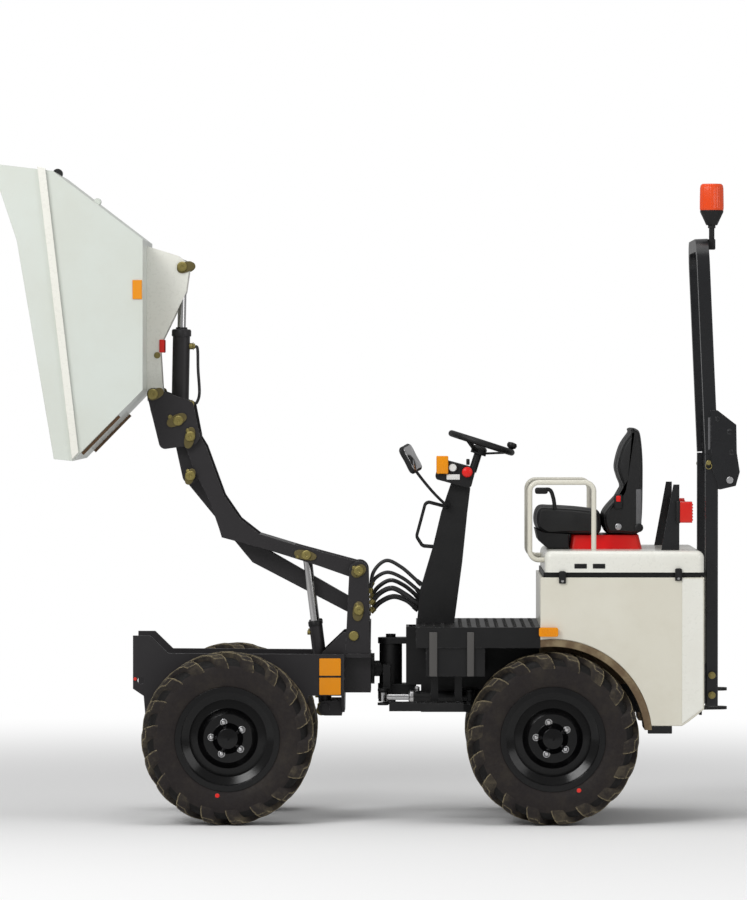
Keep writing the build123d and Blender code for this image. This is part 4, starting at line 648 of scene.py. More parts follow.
def make_tyres():
    """Build the tyres: a carcass turned from its half section and its mirror, with two rows of slanting lugs half
    a pitch apart."""
    s = sizes()
    half = np.array(CARCASS) * MM
    bore = [(BORE_R, -BEAD_Y), (BORE_R, BEAD_Y)]
    profile = np.concatenate([half, (half * (1, -1))[-2::-1], bore, half[:1]])
    for wheel in WHEELS:
        body, centre = f"wheel_{wheel}", middle_of(f"tyre_{wheel}")
        carcass = lathe(profile, centre, ACROSS, 120)
        made = piece(f"tyre_{wheel}_carcass", [carcass], "tyre side", body, 50, (f"tyre_{wheel}",))
        made.data.materials.append(finish("tyre tread painted shade"))
        # Faces of the tread floor between the lugs get the second material, the near-black painted shade.
        spots = np.array([face.center for face in made.data.polygons]) - centre
        floor = np.hypot(spots[:, 0], spots[:, 2]) > TREAD_FLOOR_R
        made.data.polygons.foreach_set("material_index", floor.astype(np.int32))
        outer = 1 if centre[1] > 0 else -1
        lugs = tyre_lugs(centre, outer, s.lug_phase)
        lugs += tyre_lugs(centre, -outer, s.lug_phase + np.pi / s.lug_pairs)
        piece(f"tyre_{wheel}_lugs", lugs, "tyre lug", body, 30)


def nut(centre, axis, radius, height, spin):
    """A domed hexagon nut on a washer: a six-sided lathe for the flats and a round one for the dome."""
    flats = [(0, 0), (1, 0), (1, 0.62), (0.9, 0.72), (0, 0.72)]
    dome = [(0.82, 0.5), (0.80, 0.74), (0.62, 0.92), (0.3, 1), (0, 1.02)]
    scale = (radius, height)
    return [
        rod(centre, axis, radius * 1.25, height * 0.15, 20),
        lathe(np.array(flats) * scale, centre, axis, 6, spin),
        lathe(np.array(dome) * scale, centre, axis, 16),
    ]


def hex_bolt(centre, axis, radius=0.008, spin=0.3):
    """A washer, a six-sided head and its chamfer."""
    head = np.array([(0, 0), (1, 0), (1, 0.7), (0.86, 0.85), (0, 0.85)]) * radius
    washer = disc(centre, axis, radius * 1.45, radius * 0.25, radius * 0.08, 20)
    return [washer, lathe(head, centre, axis, 6, spin)]


def make_wheel_trim():
    """Build five domed nuts, a hub cap and a red balance dot on each wheel."""
    cap = [(0, 0), (0.032, 0), (0.031, 0.010), (0.024, 0.018), (0, 0.021)]
    for wheel in WHEELS:
        body, centre = f"wheel_{wheel}", middle_of(f"rim_{wheel}")
        out = np.array([0, 1 if centre[1] > 0 else -1, 0])
        face = centre + out * HUB_FACE
        nuts = []
        for turn in FIRST_NUT + np.arange(NUT_COUNT) * 360 / NUT_COUNT:
            nuts += nut(around(face, sizes().nut_circle, turn), out, NUT_R, NUT_HEIGHT, math.radians(turn))
        piece(f"nuts_{wheel}", nuts, "bright steel", body, 30)
        spot = around(centre + out * DOT_Y, DOT_R, DOT_TURN[wheel.split("_")[0]])
        dot = disc(spot, out, 0.009, 0.003, 0.001, 20)
        piece(f"balance_dot_{wheel}", [dot], "red paint", body, 40)
        piece(f"hub_cap_{wheel}", [lathe(cap, face, out, 36)], "rim paint", body, 40)


# ---------------------------------------------------------------- the lift's pins and cylinders
# body: pin, Y of its outer face, head radius, flag's half length and half width, its lean, its offset (X, Z)
PIN_HEADS = {
    "head": (
        ("skip_hinge", 0.152, 0.021, 0.034, 0.020, 0.5, (-0.012, 0.0)),
        ("tip_base", 0.152, 0.0205, 0.043, 0.022, 0.45, (0.006, 0.002)),
        ("upper_head", 0.152, 0.0205, 0.044, 0.020, 1.35, (0.002, -0.006)),
        ("lower_head", 0.152, 0.0205, 0.034, 0.018, 1.2, (0.0, -0.004)),
    ),
    "front_chassis": (
        ("upper_tower", 0.152, 0.0205, 0.032, 0.022, 0.6, (0.0, 0.0)),
        ("lift_foot", 0.112, 0.0205, 0.040, 0.024, 0.5, (0.0, 0.0)),
        ("lower_tower", 0.152, 0.0205, 0.040, 0.022, 1.45, (0.002, -0.004)),
    ),
    "upper_link": (("lift_rod_pin", 0.130, 0.0200, 0.046, 0.019, -0.2, (0.004, 0.0)),),
    "skip": (("tip_rod_pin", 0.059, 0.0205, 0.036, 0.021, 0.35, (-0.014, -0.002)),),
}
HEAD_PIN_DROP = 0.158
FLAG_THICK, KEEPER_AT, KEEPER_R = 0.0055, 0.68, 0.0062
TIP_GLAND_AT, TIP_PORTS_AT, TIP_BAND_AT = 0.366, (0.300, 0.068), 0.044
LIFT_BARREL_Y, LIFT_GLAND_AT, LIFT_PORTS_AT, LIFT_PORT_OUT = 0.086, 0.350, (0.305, 0.050), 0.024


def joint_named(name):
    return next(j for j in frame["joints"] if j["name"] == name)


def joint_spot(name):
    """Where a joint's axis is, from the record."""
    return np.array(joint_named(name)["pos_m"], float)


def pin_spots():
    """The lift's pin centres."""
    return {
        "skip_hinge": joint_spot("skip_tip"),
        "tip_base": joint_spot("tip_barrel_turn"),
        "upper_head": joint_spot("head_level"),
        "lower_head": joint_spot("head_level") - (0, 0, HEAD_PIN_DROP),
        "upper_tower": joint_spot("lift"),
        "lower_tower": joint_spot("lower_link_turn"),
        "lift_foot": joint_spot("lift_barrel_turn"),
        "lift_rod_pin": np.array([0.245, 0, 1.062]),
        "tip_rod_pin": np.array([0.747, 0, 2.223]),
    }


def oval(centre, axis, long, short, thick, lean):
    """A flag plate: P(t) = (a cos t, b sin t) with its ends squared a little, turned by its lean, carried along
    its axis."""
    cos_t, sin_t = circle(28, np.array([1, 0]), np.array([0, 1])).T
    x = long * np.sign(cos_t) * np.abs(cos_t) ** 0.8
    y = short * np.sign(sin_t) * np.abs(sin_t) ** 0.9
    c, s = math.cos(lean), math.sin(lean)
    return prism(np.stack([c * x - s * y, s * x + c * y], -1), centre, axis, thick, bevel=0.0012)


def make_pins():
    """Build a domed zinc head, its flag plate and keeper bolt on each end of the lift's pins."""
    spots = pin_spots()
    for body, rows in PIN_HEADS.items():
        flags, heads = [], []
        for name, y, radius, long, short, lean, (shift_x, shift_z) in rows:
            centre = spots[name] * (1, 0, 1) + (0, y, 0)
            middle = centre + (shift_x, 0, shift_z)
            flags.append(oval(middle, ACROSS, long, short, FLAG_THICK, lean))
            dome = [(0, 0), (radius, 0), (radius, 0.009), (radius * 0.8, 0.0125), (radius * 0.3, 0.013),
                    (radius * 0.22, 0.0108), (0, 0.0108)]
            heads.append(lathe(dome, centre, ACROSS, 28))
            keeper = around(middle + (0, 0.002, 0), long * KEEPER_AT, math.degrees(lean))
            heads += hex_bolt(keeper, ACROSS, KEEPER_R)
        piece(f"pin_flags_{body}", both_sides(flags), "dull zinc", body, 35)
        piece(f"pin_heads_{body}", both_sides(heads), "passivated zinc", body, 35)


def make_cylinder_trim():
    """Build glands, wipers, ports and welded bands on the tip, lift and steering cylinders, and the tip hose."""
    spots = pin_spots()
    base = spots["tip_base"]
    run = unit(spots["tip_rod_pin"] - base)
    gland_at = base + run * TIP_GLAND_AT
    gland = [(0.0178, -0.004), (0.039, -0.004), (0.0395, 0.0), (0.0395, 0.018), (0.036, 0.024), (0.0178, 0.026)]
    wiper = [(0.0175, 0), (0.024, 0), (0.023, 0.006), (0.0175, 0.007)]
    band = [(0.0352, 0), (0.0375, 0.002), (0.0375, 0.008), (0.0352, 0.010)]
    rings = [
        lathe(gland, gland_at - run * 0.022, run, 40),
        lathe(wiper, gland_at + run * 0.004, run, 32),
        lathe(band, base + run * TIP_BAND_AT, run, 40),
    ]
    piece("tip_gland", rings, "charcoal paint", "tip_barrel", 35)
    ports = []
    for share in TIP_PORTS_AT:
        ports.append(disc(base + run * share + (-0.033, 0, 0), (-1, 0, 0), 0.013, 0.014, 0.002, 20))
        ports += hex_bolt(base + run * share + (-0.047, 0, 0), (-1, 0, 0), 0.011)
    piece("tip_ports", ports, "passivated zinc", "tip_barrel", 35)
    top, low = (base + run * share + (-0.056, 0, 0) for share in TIP_PORTS_AT)
    hose = curve_through([top, top + (-0.010, 0.004, -0.012), top + (low - top) * 0.4 + (-0.014, 0.006, 0),
                          low + (-0.022, 0.004, 0.045), low + (-0.012, 0, 0.006), low], 10)
    piece("tip_hose", [tube(hose, 0.006, 14)], "hose rubber", "tip_barrel", 60)

    foot = joint_spot("lift_barrel_turn") * (1, 0, 1)
    rise = unit(spots["lift_rod_pin"] * (1, 0, 1) - foot)
    collar = [(0.0168, -0.002), (0.0275, -0.002), (0.028, 0.014), (0.025, 0.019), (0.0168, 0.020)]
    collars, ports = [], []
    for y in (LIFT_BARREL_Y, -LIFT_BARREL_Y):
        start = foot + (0, y, 0)
        collars.append(lathe(collar, start + rise * (LIFT_GLAND_AT - 0.016), rise, 32))
        for share in LIFT_PORTS_AT:
            ports.append(disc(start + rise * share + (LIFT_PORT_OUT, 0, 0), AHEAD, 0.009, 0.012, 0.0015, 16))
    piece("lift_glands", collars, "chassis paint", "lift_barrels", 35)
    piece("lift_ports", ports, "passivated zinc", "lift_barrels", 35)

    low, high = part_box("steer_cylinder_barrel")
    middle = middle_of("steer_cylinder_barrel")
    gland = [(0.0128, -0.016), (0.0262, -0.016), (0.0262, -0.002), (0.022, 0.003), (0.0128, 0.004)]
    elbow = [(0, 0), (0.0095, 0), (0.0095, 0.016), (0.007, 0.022), (0, 0.022)]
    silver = [lathe(gland, (high.x, middle[1], middle[2]), AHEAD, 32)]
    for x in (high.x - 0.030, low.x + 0.066):
        silver.append(disc((x, middle[1], high.z - 0.001), UPWARDS, 0.011, 0.018, 0.0015, 20))
        silver.append(lathe(elbow, (x, middle[1] + 0.006, high.z + 0.010), (0, 1, 0.2), 6))
    piece("steer_fittings", silver, "bright steel", "steer_barrel", 35)


# ---------------------------------------------------------------- hoses over the pivot
# Y, radius and points (X, Z) in millimetres from the tower's plate to the column
PIVOT_HOSES = (
    (60, 7.5, ((-12, 905), (-24, 990), (-75, 1038), (-136, 1012), (-192, 964), (-219, 940))),
    (38, 7.5, ((-12, 930), (-34, 968), (-82, 990), (-140, 968), (-190, 930), (-216, 905))),
    (14, 10.5, ((-12, 860), (-50, 905), (-100, 925), (-152, 900), (-190, 872), (-210, 860))),
    (-16, 10.5, ((-12, 828), (-52, 868), (-104, 890), (-156, 876), (-190, 850), (-207, 838))),
    (-44, 8.5, ((-12, 880), (-40, 925), (-92, 955), (-146, 935), (-190, 900), (-212, 880))),
)


def make_hoses():
    """Build the hoses from the tower's rear plate over the pivot to the column: the half behind the pivot bends
    between the rear chassis and the pivot block, and the other half between the block and the front chassis."""
    front_half, rear_half, ferrules, grommets = [], [], [], []
    pivot_x = joint_spot("articulation")[0]
    for y, radius, row in PIVOT_HOSES:
        radius = radius * MM
        knots = np.array([(x, y, z) for x, z in row]) * MM
        line = curve_through(knots, 16)
        cut = int(np.argmin(np.abs(line[:, 0] - pivot_x)))
        front_half.append(tube(line[: cut + 1], radius, 16))
        rear_half.append(tube(line[cut:], radius, 16))
        ferrules.append(disc(line[0] + (-0.002, 0, 0), AHEAD, radius * 1.5, 0.004, 0.0008, 18))
        ferrules.append(rod(line[0], line[1] - line[0], radius * 1.2, 0.022, 18))
        boot = [(0, 0), (radius * 1.35, 0), (radius * 1.35, 0.012), (radius * 1.15, 0.026), (0, 0.026)]
        grommets.append(lathe(boot, knots[-1], knots[-2] - knots[-1], 18))
    front = piece("pivot_hoses_front", front_half, "hose rubber", None, 60)
    rear = piece("pivot_hoses_rear", rear_half, "hose rubber", None, 60)
    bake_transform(front)
    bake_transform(rear)
    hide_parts("pivot_hoses")
    piece("hose_ferrules", ferrules, "passivated zinc", "front_chassis", 35)
    piece("hose_grommets", grommets, "black plastic", "rear_chassis", 35)


# ---------------------------------------------------------------- seat
# side outlines in millimetres from the node's box: rear (0) or front (1) and X past it, bottom (0) or top (1) and
# Z past it
CUSHION_SIDE = (
    (1, -60, 0, 4), (1, -22, 0, 24), (1, -10, 0, 64), (1, -24, 1, -12), (1, -70, 1, -9), (1, -150, 1, -13),
    (0, 60, 1, -20), (0, 20, 1, -30), (0, 10, 0, 50), (0, 20, 0, 8), (0, 80, 0, 6), (1, -120, 0, 6),
)
BACK_SIDE = (
    (0, 18, 1, -34), (0, 9, 1, -120), (0, 8, 0, 200), (0, 12, 0, 60), (0, 26, 0, 8), (1, -80, 0, 6),
    (1, -30, 0, 14), (1, -18, 0, 85), (1, -78, 0, 160), (1, -92, 0, 195), (1, -78, 0, 235), (1, -70, 0, 280),
    (1, -90, 0, 355), (1, -124, 0, 408), (0, 56, 1, -12), (0, 32, 1, -14),
)
# node, side outline, how far its sides draw in, its crown, channels at shares of the half width, channel depth
SEAT_PADS = (
    ("seat_cushion", CUSHION_SIDE, 0.014, 0.008, (-0.62, 0.62, -0.2, 0.2), 0.005),
    ("seat_back", BACK_SIDE, 0.016, 0.006, (-0.58, 0.58), 0.006),
)
PAD_GAP, CHANNEL_WIDTH = 0.004, 0.035
PIPING_COLUMNS, PIPING_R = (7, -8), 0.0032
BUCKLE_X = -1.006
# the lever's bends from the cushion's front upper left corner
LEVER = ((-0.085, -0.020, -0.020), (-0.078, -0.012, 0.030), (-0.062, -0.008, 0.064), (-0.022, -0.008, 0.060))
# the pan's side outline: X ahead of the seat's base, Z
SEAT_PAN = ((0.002, 1.093), (0.088, 1.093), (0.124, 1.124), (0.134, 1.168), (0.100, 1.156), (0.002, 1.150))


def pad_form(outline, half_width, edge, crown, channels, depth, n_across=49):
    """An upholstered form: the closed side outline o(u) with outward normals n(u), carried across y = w v, drawn in
    at the sides by e (1 - (1 - |v|^3)^(1/3)), crowned by c (1 - v^2) and pressed in at each channel by
    d exp(-((v - v_k) / s)^2)."""
    o = np.array(outline, float)
    ahead, behind = np.roll(o, -1, 0), np.roll(o, 1, 0)
    t = unit(ahead - behind)
    area = np.sum(o[:, 0] * ahead[:, 1] - ahead[:, 0] * o[:, 1])
    normal = np.stack([t[:, 1], -t[:, 0]], -1) * np.sign(area)
    v = np.sin(np.linspace(-np.pi / 2, np.pi / 2, n_across)) * 0.9995
    swell = crown * (1 - v**2) - edge * (1 - (1 - np.abs(v) ** 3) ** (1 / 3))
    for at in channels:
        swell = swell - depth * np.exp(-(((v - at) / CHANNEL_WIDTH) ** 2))
    flat = o[:, None] + normal[:, None] * swell[None, :, None]
    y = np.broadcast_to((v * half_width)[None], flat.shape[:2])
    return capped(np.stack([flat[..., 0], y, flat[..., 1]], -1), 1), True, False


def make_seat():
    """Build the cushion and backrest as padded vinyl forms with sewn channels, and the piping along their edges."""
    piping = []
    for name, side, edge, crown, channels, depth in SEAT_PADS:
        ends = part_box(name)
        outline = smooth_outline([(ends[i].x + x * MM, ends[k].z + z * MM) for i, x, k, z in side], 8)
        form = pad_form(outline, ends[1].y - PAD_GAP, edge, crown, channels, depth)
        made = piece(f"{name}_pad", [form], "seat vinyl", "engine_cover", 60, (name,))
        piping += [closed_tube(form[0][:, at], PIPING_R, 8) for at in PIPING_COLUMNS]
    piece("seat_piping", piping, "black plastic", "engine_cover", 60)


def make_seat_trim():
    """Build an adjusting lever, a belt strap with its anchor and buckle, bolts and the pan under the cushion."""
    cover = "engine_cover"
    front, side_y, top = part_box("seat_cushion")[1]
    base_front, _, base_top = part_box("seat_base")[1]
    back_rear, back_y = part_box("seat_back")[0].x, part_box("seat_back")[1].y
    lever = curve_through(np.array(LEVER) + (front, side_y, top), 10)
    knob = block((front - 0.030, side_y - 0.008, top + 0.060), (0.026, 0.012, 0.013), 0.009)
    piece("seat_lever", [tube(lever, 0.008), knob], "black plastic", cover, 50)
    strap = block((back_rear + 0.024, back_y - 0.004, top - 0.004), (0.011, 0.0035, 0.070), 0.003)
    piece("seat_belt_strap", [strap], "grey webbing", cover, 50)
    anchor = disc((back_rear + 0.024, back_y - 0.012, base_top + 0.030), ACROSS, 0.018, 0.012)
    buckle = block((BUCKLE_X, back_y - 0.002, top + 0.016), (0.017, 0.008, 0.030), 0.006)
    piece("belt_buckle", [buckle, anchor], "black plastic", cover, 50)
    button = block((BUCKLE_X, back_y + 0.007, top + 0.028), (0.009, 0.003, 0.012), 0.0025)
    piece("belt_button", [button], "red paint", cover, 50)
    bolts = hex_bolt((BUCKLE_X, side_y - 0.012, base_top + 0.034), ACROSS, 0.009)
    piece("seat_bolts", bolts, "bright steel", cover, 35)
    pan = side_plate(np.array(SEAT_PAN) + (base_front, 0), side_y - 0.012, 2 * side_y - 0.024, 0.004)
    piece("seat_pan", [pan], "black plastic", cover, 40)


# ---------------------------------------------------------------- console, lamps and mirror
# X and Z of what stands on the console's left face
CONSOLE_SPOTS = {
    "marker": (-0.302, 1.425), "gauge": (-0.344, 1.414), "key": (-0.405, 1.437), "blank": (-0.346, 1.376),
    "stop": (-0.402, 1.396),
}
WHEEL_CENTRE, WHEEL_BOSS_DEPTH = (-0.461, 0, 1.512), 0.030
TAIL_HALF, TAIL_PITCH, RIB_DEPTH = 0.036, 0.012, 0.0005
LENS_HEIGHT, CONE_HEIGHT, FLUTES, FLUTE_DEPTH = 0.107, 0.059, 30, 0.0008
# levels of the beacon's lens over its foot, and the share of its radius there
LENS_LEVELS = np.array([0.0, 0.004, 0.010, 0.050, 0.088, 0.100, 0.106])
LENS_SHARES = np.array([0.955, 0.99, 1.0, 0.992, 0.975, 0.93, 0.80])
MIRROR_SLOPE, MIRROR_AT, MIRROR_LEAN = (0.464, 0, 0.886), (-0.178, 0.186, 1.452), (0.80, -0.28, -0.42)
# X, Y and Z down the mirror's stalk, from behind its head to the clamp
MIRROR_STALK = ((-0.200, 0.140, 1.395), (-0.262, 0.126, 1.318), (-0.318, 0.110, 1.262), (-0.318, 0.071, 1.262))
MIRROR_CLAMP = (-0.318, 0.070, 1.262)
MIRROR_OUTLINE = (
    (-0.062, -0.058), (0, -0.062), (0.062, -0.058), (0.064, 0), (0.062, 0.058), (0, 0.064), (-0.062, 0.058),
    (-0.064, 0),
)


def make_console_trim():
    """Build the console's amber block, gauge, blank strip, stop button and key on its left face, and the steering
    wheel's hub cap."""
    body, face = "rear_chassis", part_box("console")[1].y

    def spot(name, proud=0.0):
        x, z = CONSOLE_SPOTS[name]
        return x, face + proud, z

    gauge = spot("gauge")
    marker = block(spot("marker", 0.004), (0.024, 0.012, 0.036), 0.004)
    piece("console_marker", [marker], "amber plastic", body, 50)
    bezel = [(0, 0), (0.021, 0), (0.021, 0.006), (0.017, 0.008), (0.016, 0.004), (0, 0.004)]
    key = block(spot("key", 0.006), (0.007, 0.009, 0.012), 0.003)
    piece("gauge_bezel", [lathe(bezel, gauge, ACROSS, 32), key], "black plastic", body, 50)
    dial = [(0, 0.0035), (0.0155, 0.0035), (0.0155, 0.0048), (0, 0.0052)]
    blank = block(spot("blank", 0.001), (0.027, 0.003, 0.011), 0.002)
    piece("gauge_dial", [lathe(dial, gauge, ACROSS, 32), blank], "white plastic", body, 50)
    stop = [(0, 0), (0.012, 0), (0.012, 0.008), (0.021, 0.010), (0.021, 0.017), (0.017, 0.021), (0, 0.022)]
    piece("stop_button", [lathe(stop, spot("stop"), ACROSS, 32)], "red paint", body, 50)
    lean = unit(joint_named("steering_wheel_turn")["axis"])
    lean = lean * (1 if lean[2] > 0 else -1)
    cap = [(0, 0), (0.030, 0), (0.031, 0.006), (0.026, 0.014), (0.012, 0.018), (0, 0.0185)]
    cap = lathe(cap, WHEEL_CENTRE - lean * WHEEL_BOSS_DEPTH, lean, 32)
    piece("wheel_hub_cap", [cap], "black plastic", "steering_wheel_body", 50)


def make_lamps():
    """Build lens ribs and bases of the tail and side lamps, and the beacon's fluted lens on its stand."""
    low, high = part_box("tail_lamps")
    middle = (low.z + high.z) / 2
    ribs, bases = [], []
    for y in (high.y - TAIL_HALF, TAIL_HALF - high.y):
        ribs += [block((low.x - 0.001, y, low.z + TAIL_PITCH * k), (0.0025, 0.030, 0.0035), 0.002)
                 for k in range(1, 7)]
        bases.append(block((high.x + 0.006, y, middle), (0.008, 0.039, 0.045), 0.005))
    piece("tail_lamp_ribs", ribs, "red lens plastic", "engine_cover", 50)
    piece("tail_lamp_bases", bases, "black plastic", "engine_cover", 50)
    low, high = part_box("side_lamps")
    middle = (low.z + high.z) / 2
    ribs = [block((x, y, middle), (0.0022, 0.0015, 0.013), 0.0014)
            for y in (high.y - RIB_DEPTH, RIB_DEPTH - high.y)
            for x in np.linspace(low.x + 0.010, high.x - 0.010, 9)]
    piece("side_lamp_ribs", ribs, "amber plastic", "rear_chassis", 50)

    body = "roll_hoop_body"
    low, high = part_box("beacon")
    x, y, _ = middle_of("beacon")
    t = np.arange(120) * 2 * np.pi / 120
    flute = (high.x - low.x) / 2 + FLUTE_DEPTH * (np.cos(t * FLUTES) - 1)
    lens_z = high.z - LENS_HEIGHT
    cone_z = lens_z - CONE_HEIGHT
    r = flute[:, None] * LENS_SHARES
    z = np.broadcast_to(lens_z + LENS_LEVELS, r.shape)
    grid = [x + r * np.cos(t)[:, None], y + r * np.sin(t)[:, None], z]
    lens = (capped(np.stack(grid, -1), 1), True, False)
    piece("beacon_lens", [lens], "beacon plastic", body, 40, ("beacon",))
    cone = [(0, cone_z), (0.022, cone_z), (0.024, cone_z + 0.004), (0.046, lens_z - 0.008), (0.047, lens_z - 0.002),
            (0.045, lens_z + 0.001), (0, lens_z + 0.001)]
    stand = [
        lathe(cone, (x, y, 0), UPWARDS, 48),
        rod((x, y, low.z + 0.020), UPWARDS, 0.011, cone_z - low.z - 0.016, 24),
        rod((x, y, cone_z - 0.012), UPWARDS, 0.017, 0.014, 6),
        block((x + 0.002, y, low.z + 0.022), (0.016, 0.022, 0.021), 0.004),
    ]
    piece("beacon_stand", stand, "black plastic", body, 40)


def make_mirror():
    """Build the mirror's head and glass on a bent stalk clamped to the console."""
    low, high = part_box("mirror")
    side = np.array([1, 1 if high.y > -low.y else -1, 1])
    outward, head = MIRROR_LEAN * side, MIRROR_AT * side
    outline = smooth_outline(MIRROR_OUTLINE, 6)
    shell = prism(outline * (1, 0.92), head - outward * 0.006, outward, 0.020, up=MIRROR_SLOPE, bevel=0.006)
    stalk = curve_through([head + outward * 0.010, *(np.array(MIRROR_STALK) * side)], 10)
    stalk = tube(stalk, 0.006, up=(0.3, 0, 1))
    clamp = disc(MIRROR_CLAMP * side, ACROSS * side, 0.015, 0.022, 0.002, 24)
    piece("mirror_head", [shell, stalk, clamp], "black plastic", "rear_chassis", 40, ("mirror",))
    glass = prism(outline * (0.88, 0.80), head - outward * 0.0075, outward, 0.002, up=MIRROR_SLOPE, bevel=0.001)
    piece("mirror_glass", [glass], "mirror glass", "rear_chassis", 40)


# ---------------------------------------------------------------- roll hoop and skip
HOOP_TUBE_Y, POST_AHEAD, LOCK_Z, HOOP_BLANK_Z = 0.355, 0.071, 1.437, 1.553
FOOT_BOLTS = ((0.592, 0.3), (0.513, 0.8))
PLATE_BOLTS = ((-1.452, 1.478), (-1.444, 1.560), (-1.396, 1.612))
MARKER_AT, MARKER_HALF = (0.911, 2.125), (0.019, 0.038)
SKIP_WALL_OUT = (-0.2334, 1.0, 0.0275)
SKIP_FOLD = ((1.165, 1.450), (1.139, 1.478), (1.270, 2.604), (1.302, 2.612))
SKIP_STIFFENER = ((0.985, 1.6265), (1.132, 1.4765), (1.1235, 1.4682), (0.9765, 1.6182))
SKIP_EYE, SKIP_TAB = (1.252, 0, 2.600), (1.091, 0, 2.486)
BRACKET_RED, BRACKET_BOLT = (0.829, 0.062, 1.903), (0.848, 0.059, 1.866)
# the flared side wall: Y at its front fold, how much it draws in a metre, the fold's foot, its run in X and in Z
WALL_Y, WALL_DRAW, WALL_FOOT, WALL_RUN = 0.480, 0.235, (1.164, 1.445), (0.9931, 0.1168)


def make_hoop_trim():
    """Build the roll hoop's foot bolts, locking pins with their rings, pivot caps, blank strips and plate bolts."""
    foot_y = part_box("hoop_posts")[1].y
    plate_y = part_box("roll_hoop")[1].y - 0.006
    spot = joint_spot("roll_hoop_fold") * (1, 0, 1)
    post_x = spot[0] + POST_AHEAD
    lock = np.array([post_x + 0.013, HOOP_TUBE_Y, LOCK_Z])
    fixed = [disc(lock, ACROSS, 0.010, 0.014, 0.002, 20)]
    for z, spin in FOOT_BOLTS:
        fixed += hex_bolt((post_x, foot_y, z), ACROSS, 0.010, spin)
    ring = lock + (0, 0.012, -0.013) + 0.012 * circle(24, AHEAD, UPWARDS)
    fixed.append(closed_tube(ring, 0.0016, 8))
    piece("hoop_foot_bolts", both_sides(fixed), "passivated zinc", "rear_chassis", 35)
    body = "roll_hoop_body"
    pivot = disc(spot + (0, plate_y, 0), ACROSS, 0.014, 0.008, 0.002, 24)
    piece("hoop_pivot_caps", both_sides([pivot]), "bright steel", body, 35)
    bolts = sum((hex_bolt((x, plate_y, z), ACROSS) for x, z in PLATE_BOLTS), [])
    piece("hoop_plate_bolts", both_sides(bolts), "hoop paint", body, 35)
    blank = block((post_x + 0.010, HOOP_TUBE_Y + 0.001, HOOP_BLANK_Z), (0.005, 0.0015, 0.064), 0.0014)
    piece("hoop_strips", both_sides([blank]), "grey webbing", body, 40)


def skip_wall_y(x, z):
    """Y of the skip's flared side wall: it draws in by its slope for each metre behind the front fold."""
    return WALL_Y - WALL_DRAW * ((WALL_FOOT[0] - x) * WALL_RUN[0] + (z - WALL_FOOT[1]) * WALL_RUN[1])


def roller(centre, radius, half, ease, n):
    """A short round bar across the machine with its rims eased."""
    rim = radius - 0.002
    return lathe([(0, -half), (rim, -half), (radius, ease - half), (radius, half - ease), (rim, half), (0, half)],
                 centre, ACROSS, n)


def make_skip_trim():
    """Build the skip's blank amber markers, eye, tab, stiffeners and folds, and its bracket's reflectors and
    bolts."""
    body = "skip"
    x, z = MARKER_AT
    across, up = MARKER_HALF
    marker = prism([(-across, -up), (across, -up), (across, up), (-across, up)],
                   (x, skip_wall_y(x, z) + 0.0004, z), SKIP_WALL_OUT, 0.004, up=UPWARDS, bevel=0.001)
    piece("skip_markers", both_sides([marker]), "amber plastic", body, 40)
    piece("skip_eye", [roller(SKIP_EYE, 0.020, 0.022, 0.006, 28)], "black plastic", body, 50)
    piece("skip_tab", [roller(SKIP_TAB, 0.015, 0.018, 0.005, 24)], "skip paint", body, 50)
    # The strips under the skip's front wall are real; their brown colour is painted shadow.
    stiffener = side_plate(SKIP_STIFFENER, 0.424, 0.012, 0.002)
    piece("skip_stiffeners", both_sides([stiffener]), "underside painted shade", body, 30)
    # The fold strips are coloured white as a painted highlight along the skip's side fold.
    fold = side_plate(SKIP_FOLD, 0.491, 0.014, 0.003)
    piece("skip_fold_highlights", both_sides([fold]), "cover paint", body, 30)
    red = block(BRACKET_RED, (0.010, 0.004, 0.026), 0.003)
    piece("bracket_reflectors", both_sides([red]), "red paint", body, 50)
    bolts = hex_bolt(BRACKET_BOLT, ACROSS, 0.009)
    piece("bracket_bolts", both_sides(bolts), "passivated zinc", body, 35)


# ---------------------------------------------------------------- body
LATCHES, VENTS = ((-0.777, 0.995), (-1.237, 1.006)), (-0.849, -0.922)
VENT_Z, SLAT_Z, SLAT_PITCH = 1.028, 1.0208, 0.0048
RIBS, RIB_Z = ((-0.265, 0.016), (-0.413, 0.014)), 0.678
LINER_FOOT, NOSE_DOT, TOWER_CAP = (-1.164, 0.427, 0.379), (0.929, 0.2195, 0.568), (0.054, 0.152, 0.738)
GUSSET = ((0.070, 0.664), (0.184, 0.664), (0.176, 0.676), (0.096, 0.752), (0.070, 0.756))
KNOB_AT, KNOB_LEAN = (-0.578, 0, 1.484), (-0.304, 0, 0.953)
SILL_RISE, SILL_RUN, SILL_BEND = 0.067, 0.089, 1.15
ARCH_R, SKIN, SKIN_EASE = 0.395, 0.012, 0.0025
# lozenge levels: size, height over the plate
LOZENGE = ((0.0, -0.0004), (0.0125, -0.0004), (0.0095, 0.0016), (0.0, 0.0018))
LOZENGE_TURN, LOZENGE_WIDTH = 0.785, 0.36


